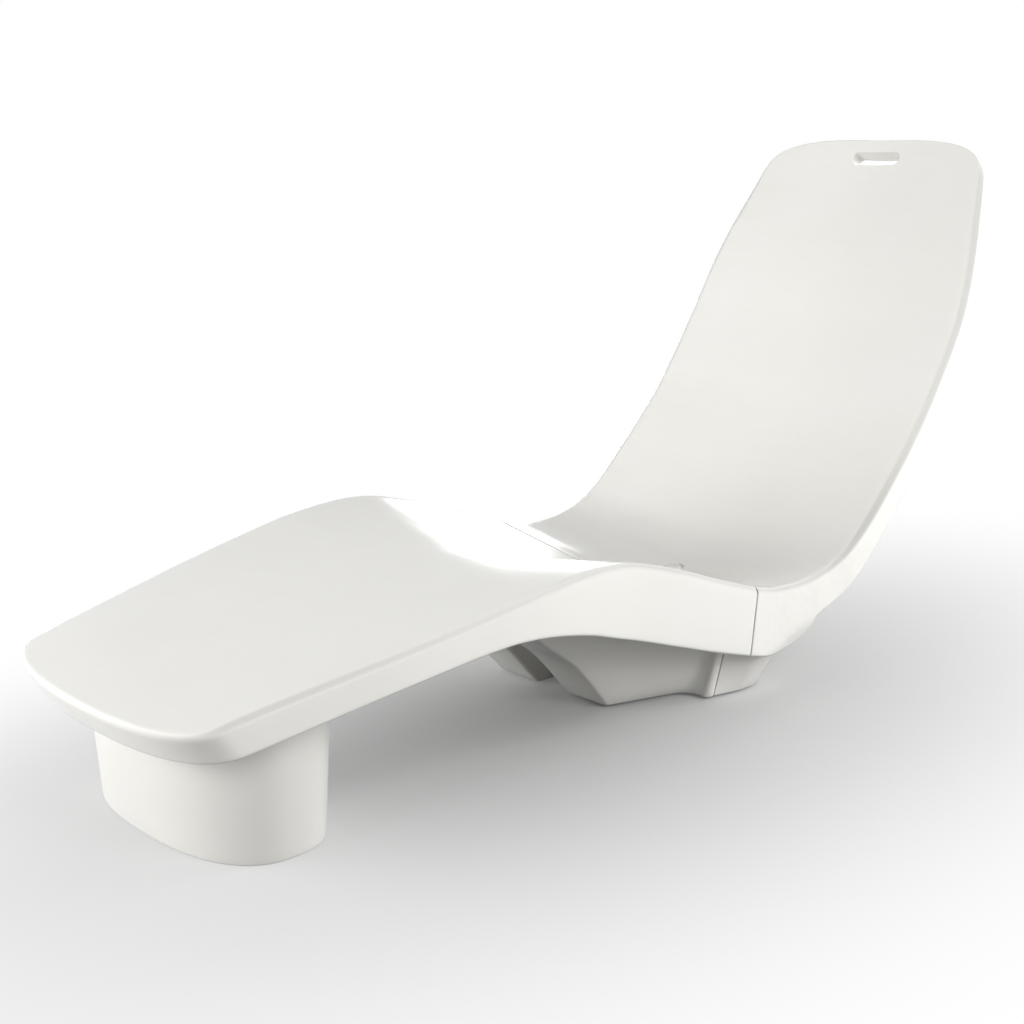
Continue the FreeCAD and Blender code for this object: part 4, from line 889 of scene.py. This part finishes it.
def shell_material(name, light_tone, deep_tone, ripple, rough, wave_deep):
    """Moulded plastic: faint patches of tone, painted shade on the rim's bevel band, a satin skin with fine
    grain and broad waves.

    The ripple is the number of broad waves per metre along each axis."""
    nodes = Nodes(bpy.data.materials.new(name))
    patches = nodes.ranged(nodes.noise(scale=2.6, detail=3.0, rough=0.55), 0.0, 1.0)
    flecks = nodes.ranged(nodes.noise(scale=60.0), 0.0, 1.0, start=0.35, end=0.8)
    tone = nodes.mixed(patches, light_tone, deep_tone)
    dusty = nodes.mixed(1.0, tone, nodes.mixed(flecks, FLECK_TONE, WHITE), "MULTIPLY")
    # Painted shade: the rim_shade mask darkens the colour by the rim's tone on the bevel band
    rim = nodes.add("ShaderNodeAttribute", attribute_name="rim_shade").outputs["Fac"]
    shaded = nodes.mixed(rim, dusty, RIM_PAINTED_SHADE, "MULTIPLY")
    broad = nodes.noise(scale=1.0, rough=0.45, vector=nodes.stretched(ripple))
    waves = nodes.bump(broad, wave_deep, strength=0.55)
    grain = nodes.bump(nodes.noise(scale=150.0, rough=0.6), distance=0.00006, below=waves)
    sheen = nodes.noise(scale=9.0, detail=3.0, rough=0.6)
    gloss = nodes.ranged(sheen, rough - SHELL_SPREAD, rough + SHELL_SPREAD)
    return nodes.finish(Base_Color=shaded, Roughness=gloss, Normal=grain, IOR=PLASTIC_IOR,
                        Specular_IOR_Level=SHELL_SPECULAR)


def shell(name, ripple=EVEN_RIPPLE, wave_deep=WAVE_DEEP):
    """Off-white moulded plastic of that name, made the first time it is asked for."""
    colours = bpy.context.scene.lounger_colours
    return bpy.data.materials.get(name) or shell_material(
        name, colours.shell, colours.shell_deep, ripple, SHELL_ROUGH, wave_deep)


def rubber_material(name, colour, rough):
    """Matte rubber with dusty patches and a coarse grain."""
    nodes = Nodes(bpy.data.materials.new(name))
    dust = nodes.ranged(nodes.noise(scale=35.0, detail=4.0, rough=0.6), 0.0, 1.0, start=0.4, end=0.8)
    lighter = [min(channel * DUST_SHARE + DUST_LIFT, 1.0) for channel in colour]
    gloss = nodes.ranged(nodes.noise(scale=20.0), rough - RUBBER_SPREAD, rough + RUBBER_SPREAD)
    return nodes.finish(Base_Color=nodes.mixed(dust, colour, lighter), Roughness=gloss,
                        Normal=nodes.bump(nodes.noise(scale=700.0), distance=0.0002, strength=0.6))


def metal_material(name, colour, rough):
    """Turned metal: rings of fine lines as from a lathe, with a little tarnish."""
    nodes = Nodes(bpy.data.materials.new(name))
    lines = nodes.noise(scale=1.0, vector=nodes.stretched(LATHE_LINES))
    tarnish = nodes.ranged(nodes.noise(scale=80.0, detail=3.0), 0.0, 1.0)
    darker = [channel * TARNISH_SHARE for channel in colour]
    gloss = nodes.ranged(lines, rough - LATHE_LOW, rough + LATHE_HIGH)
    return nodes.finish(Base_Color=nodes.mixed(tarnish, colour, darker), Metallic=1.0, Roughness=gloss,
                        Normal=nodes.bump(lines, distance=0.00003))


def fitting_material(name, colour, rough):
    """Smooth injection-moulded plastic with a faint flow pattern."""
    nodes = Nodes(bpy.data.materials.new(name))
    flow = nodes.ranged(nodes.noise(scale=45.0, detail=3.0), 0.0, 1.0)
    darker = [channel * FLOW_SHARE for channel in colour]
    gloss = nodes.ranged(nodes.noise(scale=30.0), rough - FITTING_SPREAD, rough + FITTING_SPREAD)
    return nodes.finish(Base_Color=nodes.mixed(flow, colour, darker), IOR=PLASTIC_IOR, Roughness=gloss,
                        Normal=nodes.bump(nodes.noise(scale=600.0, detail=1.0), distance=0.00004))


# Operators
def leg_skin(sizes):
    """Skin of the leg rest."""
    return Skin(LEG_SHARES, sizes.foot_reach, -1, sizes, FOOT_CORNER_POWER, sizes.foot_corner, FOOT_SOFTNESS)


def back_skin(sizes):
    """Skin of the seat and the back."""
    return Skin(BACK_SHARES, sizes.head_reach, 1, sizes, HEAD_CORNER_POWER, sizes.head_corner, HEAD_SOFTNESS)


class LOUNGER_OT_leg_rest(bpy.types.Operator):
    """Leg rest with the front of the seat"""
    bl_idname = "lounger.leg_rest"
    bl_label = "Leg Rest"

    def execute(self, context):
        leg_skin(context.scene.lounger_sizes).sheets().piece("leg_rest", shell("leg_shell"), "leg_section")
        return {"FINISHED"}


class LOUNGER_OT_seat_back(bpy.types.Operator):
    """Rear of the seat and the backrest, with the hand slot and the drain"""
    bl_idname = "lounger.seat_back"
    bl_label = "Seat and Back"

    def execute(self, context):
        sheets = back_skin(context.scene.lounger_sizes).sheets([hand_slot, drain_hole])
        sheets.piece("seat_back", shell("back_shell", BACK_RIPPLE, BACK_WAVE_DEEP), "back_section")
        return {"FINISHED"}


class LOUNGER_OT_front_base(bpy.types.Operator):
    """Two lobes and the rib along the seam"""
    bl_idname = "lounger.front_base"
    bl_label = "Front Base"

    def execute(self, context):
        sizes = context.scene.lounger_sizes
        middle_line = leg_skin(sizes).middle_line()
        sheets = Sheets()
        for side in (-1, 1):
            lobe_sheets(sheets, sizes, side, middle_line)
        half = sizes.channel_half + sizes.wall
        bridge = mirrored([(half, SEAM_Y - sizes.bridge_long), (half, SEAM_Y - sizes.seam_gap)])
        slab_sheets(sheets, sizes, bridge, bridge, sizes.seam_round, sizes.base_high + sizes.wall)
        sheets.piece("front_base", shell("base_shell"), "leg_section")
        return {"FINISHED"}


class LOUNGER_OT_rear_base(bpy.types.Operator):
    """Base under the rear of the seat, with the pocket for the seam bolts"""
    bl_idname = "lounger.rear_base"
    bl_label = "Rear Base"

    def execute(self, context):
        sizes = context.scene.lounger_sizes
        top = sizes.base_high + sizes.wall
        flare = sizes.base_flare * top / sizes.base_high
        front, rear = SEAM_Y + sizes.seam_gap / 2, SEAM_Y + sizes.rear_long
        wide = SEAM_Y + REAR_WIDEST_SHARE * sizes.rear_long
        low = mirrored([(sizes.rib_half, front), (sizes.rear_half, wide), (sizes.rear_half, rear)])
        high_half = sizes.rear_half + sizes.rear_side_flare
        high = mirrored([(sizes.rib_half + flare, front), (high_half, wide),
                         (high_half, rear + sizes.rear_flare)])
        pocket = mirrored([(sizes.pocket_half, front + sizes.wall + share * sizes.pocket_long)
                           for share in (0, 0.5, 1)])
        right = [sizes.seam_round, WAIST_ROUND, sizes.rear_round]
        radii = right[:1] + right + right[:0:-1]
        sheets = Sheets()
        slab_sheets(sheets, sizes, low, high, radii, top, pocket)
        sheets.piece("rear_base", shell("base_shell"), "back_section")
        return {"FINISHED"}


class LOUNGER_OT_pedestal(bpy.types.Operator):
    """Hollow pedestal under the leg rest"""
    bl_idname = "lounger.pedestal"
    bl_label = "Pedestal"

    def execute(self, context):
        sizes, colours = context.scene.lounger_sizes, context.scene.lounger_colours
        # Darker colours than the shell: a slightly different moulding and painted shade under the leg rest
        finish = shell_material("pedestal_shell", colours.pedestal, colours.pedestal_deep, PEDESTAL_RIPPLE,
                                PEDESTAL_ROUGH, WAVE_DEEP)
        pedestal_sheets(sizes, leg_skin(sizes).low_line()).piece("pedestal_column", finish, "pedestal")
        return {"FINISHED"}


class LOUNGER_OT_fittings(bpy.types.Operator):
    """Finishes of the fittings, fasteners, pads and seals"""
    bl_idname = "lounger.fittings"
    bl_label = "Fittings"

    def execute(self, context):
        colours = context.scene.lounger_colours
        finishes = [
            (rubber_material("pad_rubber", colours.rubber, rough=0.82),
             ("pedestal_ring", "lobe_pads", "rear_pads")),
            (rubber_material("seal_rubber", colours.seal, rough=0.7),
             ("seam_gasket", "drain_gasket", "drain_plug_seal", "vent_seals")),
            (metal_material("turned_steel", colours.steel, rough=0.32),
             ("seam_bolts", "seam_washers", "pedestal_bolts", "pedestal_washers")),
            (metal_material("turned_brass", colours.brass, rough=0.36), ("seam_inserts", "pedestal_inserts")),
            (fitting_material("fitting_plastic", colours.fitting, FITTING_ROUGH),
             ("seam_dowels", "drain_ring", "drain_plug", "vent_plugs")),
            (shell("base_shell"), ("leg_section", "back_section", "pedestal")),
        ]
        for finish, names in finishes:
            for name in names:
                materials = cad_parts[name].data.materials
                materials.clear()
                materials.append(finish)
        return {"FINISHED"}


# Stage
FLOOR_HALF = 14.0
FLOOR_PATCH_SHARE = 0.985
FLOOR_BOUNCE_SHARE = 0.417
# Ellipse on the floor outside which it is white, and the share of its radius where the fade starts; the grey
# inside it round the object is painted shadow
FADE_CENTRE = (0.12, -0.063)
FADE_WIDE = 1.11
FADE_LONG = 2.06
FADE_START = -0.065
# Light of the sky at the horizon and overhead
SKY_LOW = 0.03
SKY_HIGH = 0.02

# Lamps: name, bearing from +X and height as angles in degrees, power in watts
LAMPS = [
    ("front_lamp", -100, 12, 94),
    ("low_front_lamp", -128, 11, 135),
    ("near_lamp", -75, 12, 18),
    ("right_lamp", 0, 35, 106),
    ("low_right_lamp", 10, 12, 70),
    ("rear_right_lamp", 60, 20, 149),
    ("rear_left_lamp", 150, 20, 27),
]
LAMP_REACH = 4.5
LAMP_WIDE = 2.5
LAMP_AIM = (0.0, 0.0, 0.3)
# Panel behind the object that is seen only as a sheen on the far side of the seat
SHEEN_BEARING = 131
SHEEN_REACH = 2.7
SHEEN_WIDE = 1.1
SHEEN_HIGH = 0.95
SHEEN_POWER = 6.4

CAMERA_PLACE = (1.877, -1.945, 1.006)
CAMERA_PITCH = 13.88
CAMERA_YAW = 46.19
CAMERA_FAR = 100.0
LENS = 52.73


def floor_material(colours):
    """Pale floor that keeps the object's shadow and fades to white far from it, where seen; its grey round
    the object, whitening along an ellipse, is painted shadow.

    On a camera ray it has its own colour, and for all other light a darker share of it."""
    nodes = Nodes(bpy.data.materials.new("studio_floor"))
    centred = nodes.stretched((1 / FADE_WIDE, 1 / FADE_LONG, 0.0),
                              (-FADE_CENTRE[0] / FADE_WIDE, -FADE_CENTRE[1] / FADE_LONG, 0.0))
    length = nodes.add("ShaderNodeVectorMath", {0: centred}, operation="LENGTH").outputs["Value"]
    # Painted shadow: grey round the object, turning white towards the ellipse's edge
    far = nodes.ranged(length, 0.0, 1.0, FADE_START, 1.0, "SMOOTHSTEP")
    paler = [channel * FLOOR_PATCH_SHARE for channel in colours.floor]
    darker = [channel * FLOOR_BOUNCE_SHARE for channel in colours.floor]
    tone = nodes.mixed(nodes.noise(scale=14.0, detail=3.0), colours.floor, paler)
    nodes.finish(Base_Color=nodes.mixed(nodes.ray("Camera"), darker, tone), Roughness=0.9,
                 Specular_IOR_Level=0.1)
    share = nodes.worked("MULTIPLY", far, nodes.shown())
    white = nodes.add("ShaderNodeEmission").outputs[0]
    faded = nodes.add("ShaderNodeMixShader", {0: share, 1: nodes.shader.outputs[0], 2: white})
    nodes.feed(nodes.tree.nodes["Material Output"].inputs["Surface"], faded.outputs[0])
    return nodes.owner


def lay_floor(colours):
    """Plain square floor."""
    half = FLOOR_HALF
    mesh = bpy.data.meshes.new("studio_floor")
    corners = [(-half, -half, 0), (half, -half, 0), (half, half, 0), (-half, half, 0)]
    mesh.from_pydata(corners, [], [(0, 1, 2, 3)])
    mesh.materials.append(floor_material(colours))
    placed("studio_floor", mesh)


def direction(bearing, height):
    """Unit vector from a bearing and a height as angles in degrees."""
    turn, rise = math.radians(bearing), math.radians(height)
    return Vector((math.cos(rise) * math.cos(turn), math.cos(rise) * math.sin(turn), math.sin(rise)))


def hang_lamp(name, place, away, wide, high, power):
    """Area lamp that faces against a direction and isn't seen by the camera."""
    lamp = bpy.data.lights.new(name, "AREA")
    lamp.shape = "RECTANGLE"
    lamp.size, lamp.size_y, lamp.energy = wide, high, power
    item = placed(name, lamp)
    item.location = place
    item.rotation_euler = away.to_track_quat("Z", "Y").to_euler()
    item.visible_camera = False
    return item


def hang_lamps():
    """Soft lamps that no gloss shows, and the sheen panel that lights nothing else."""
    for name, bearing, height, power in LAMPS:
        away = direction(bearing, height)
        lamp = hang_lamp(name, Vector(LAMP_AIM) + away * LAMP_REACH, away, LAMP_WIDE, LAMP_WIDE, power)
        lamp.visible_glossy = False
    away = direction(SHEEN_BEARING, 0)
    place = away * SHEEN_REACH + Vector((0, 0, SHEEN_HIGH / 2))
    sheen = hang_lamp("sheen_panel", place, away, SHEEN_WIDE, SHEEN_HIGH, SHEEN_POWER)
    sheen.visible_diffuse = False


def studio_world():
    """World that is white where seen and dim as light, a little dimmer overhead."""
    nodes = Nodes(bpy.data.worlds.new("studio"))
    height = nodes.add("ShaderNodeSeparateXYZ", {0: nodes.coordinates["Generated"]}).outputs["Z"]
    sky = nodes.ranged(height, SKY_LOW, SKY_HIGH, 0.0, 1.0)
    level = nodes.add("ShaderNodeMix", {"Factor": nodes.shown(), "A": sky, "B": 1.0}).outputs[0]
    return nodes.finish(Strength=level, Color=(*WHITE, 1.0))


def photo_camera():
    """Camera at the photograph's viewing angle."""
    camera = bpy.data.cameras.new("photo_camera")
    camera.lens = LENS
    camera.clip_end = CAMERA_FAR
    item = placed("photo_camera", camera)
    item.location = CAMERA_PLACE
    item.rotation_euler = (math.radians(90 - CAMERA_PITCH), 0, math.radians(CAMERA_YAW))
    return item


class LOUNGER_OT_stage(bpy.types.Operator):
    """Floor, light, background and camera"""
    bl_idname = "lounger.stage"
    bl_label = "Stage"

    def execute(self, context):
        scene = context.scene
        lay_floor(scene.lounger_colours)
        hang_lamps()
        scene.world = studio_world()
        scene.camera = photo_camera()
        scene.view_settings.view_transform = "Standard"
        return {"FINISHED"}


OPERATORS = [LOUNGER_OT_stage, LOUNGER_OT_leg_rest, LOUNGER_OT_seat_back, LOUNGER_OT_front_base,
             LOUNGER_OT_rear_base, LOUNGER_OT_pedestal, LOUNGER_OT_fittings]


class LOUNGER_PT_panel(bpy.types.Panel):
    """Sizes, colours and steps of the lounger"""
    bl_idname = "LOUNGER_PT_panel"
    bl_label = "Lounger"
    bl_space_type = "VIEW_3D"
    bl_region_type = "UI"
    bl_category = "Lounger"

    def draw(self, context):
        for operator in OPERATORS:
            self.layout.operator(operator.bl_idname)
        for group in (context.scene.lounger_sizes, context.scene.lounger_colours):
            for name in group.__annotations__:
                self.layout.prop(group, name)


CLASSES = [LoungerSizes, LoungerColours, *OPERATORS, LOUNGER_PT_panel]


def register():
    for item in CLASSES:
        bpy.utils.register_class(item)
    bpy.types.Scene.lounger_sizes = bpy.props.PointerProperty(type=LoungerSizes)
    bpy.types.Scene.lounger_colours = bpy.props.PointerProperty(type=LoungerColours)


def unregister():
    del bpy.types.Scene.lounger_colours
    del bpy.types.Scene.lounger_sizes
    for item in reversed(CLASSES):
        bpy.utils.unregister_class(item)


def main():
    """Builds every piece in order."""
    register()
    for operator in OPERATORS:
        group, name = operator.bl_idname.split(".")
        getattr(getattr(bpy.ops, group), name)()
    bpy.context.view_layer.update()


if __name__ == "__main__":
    main()
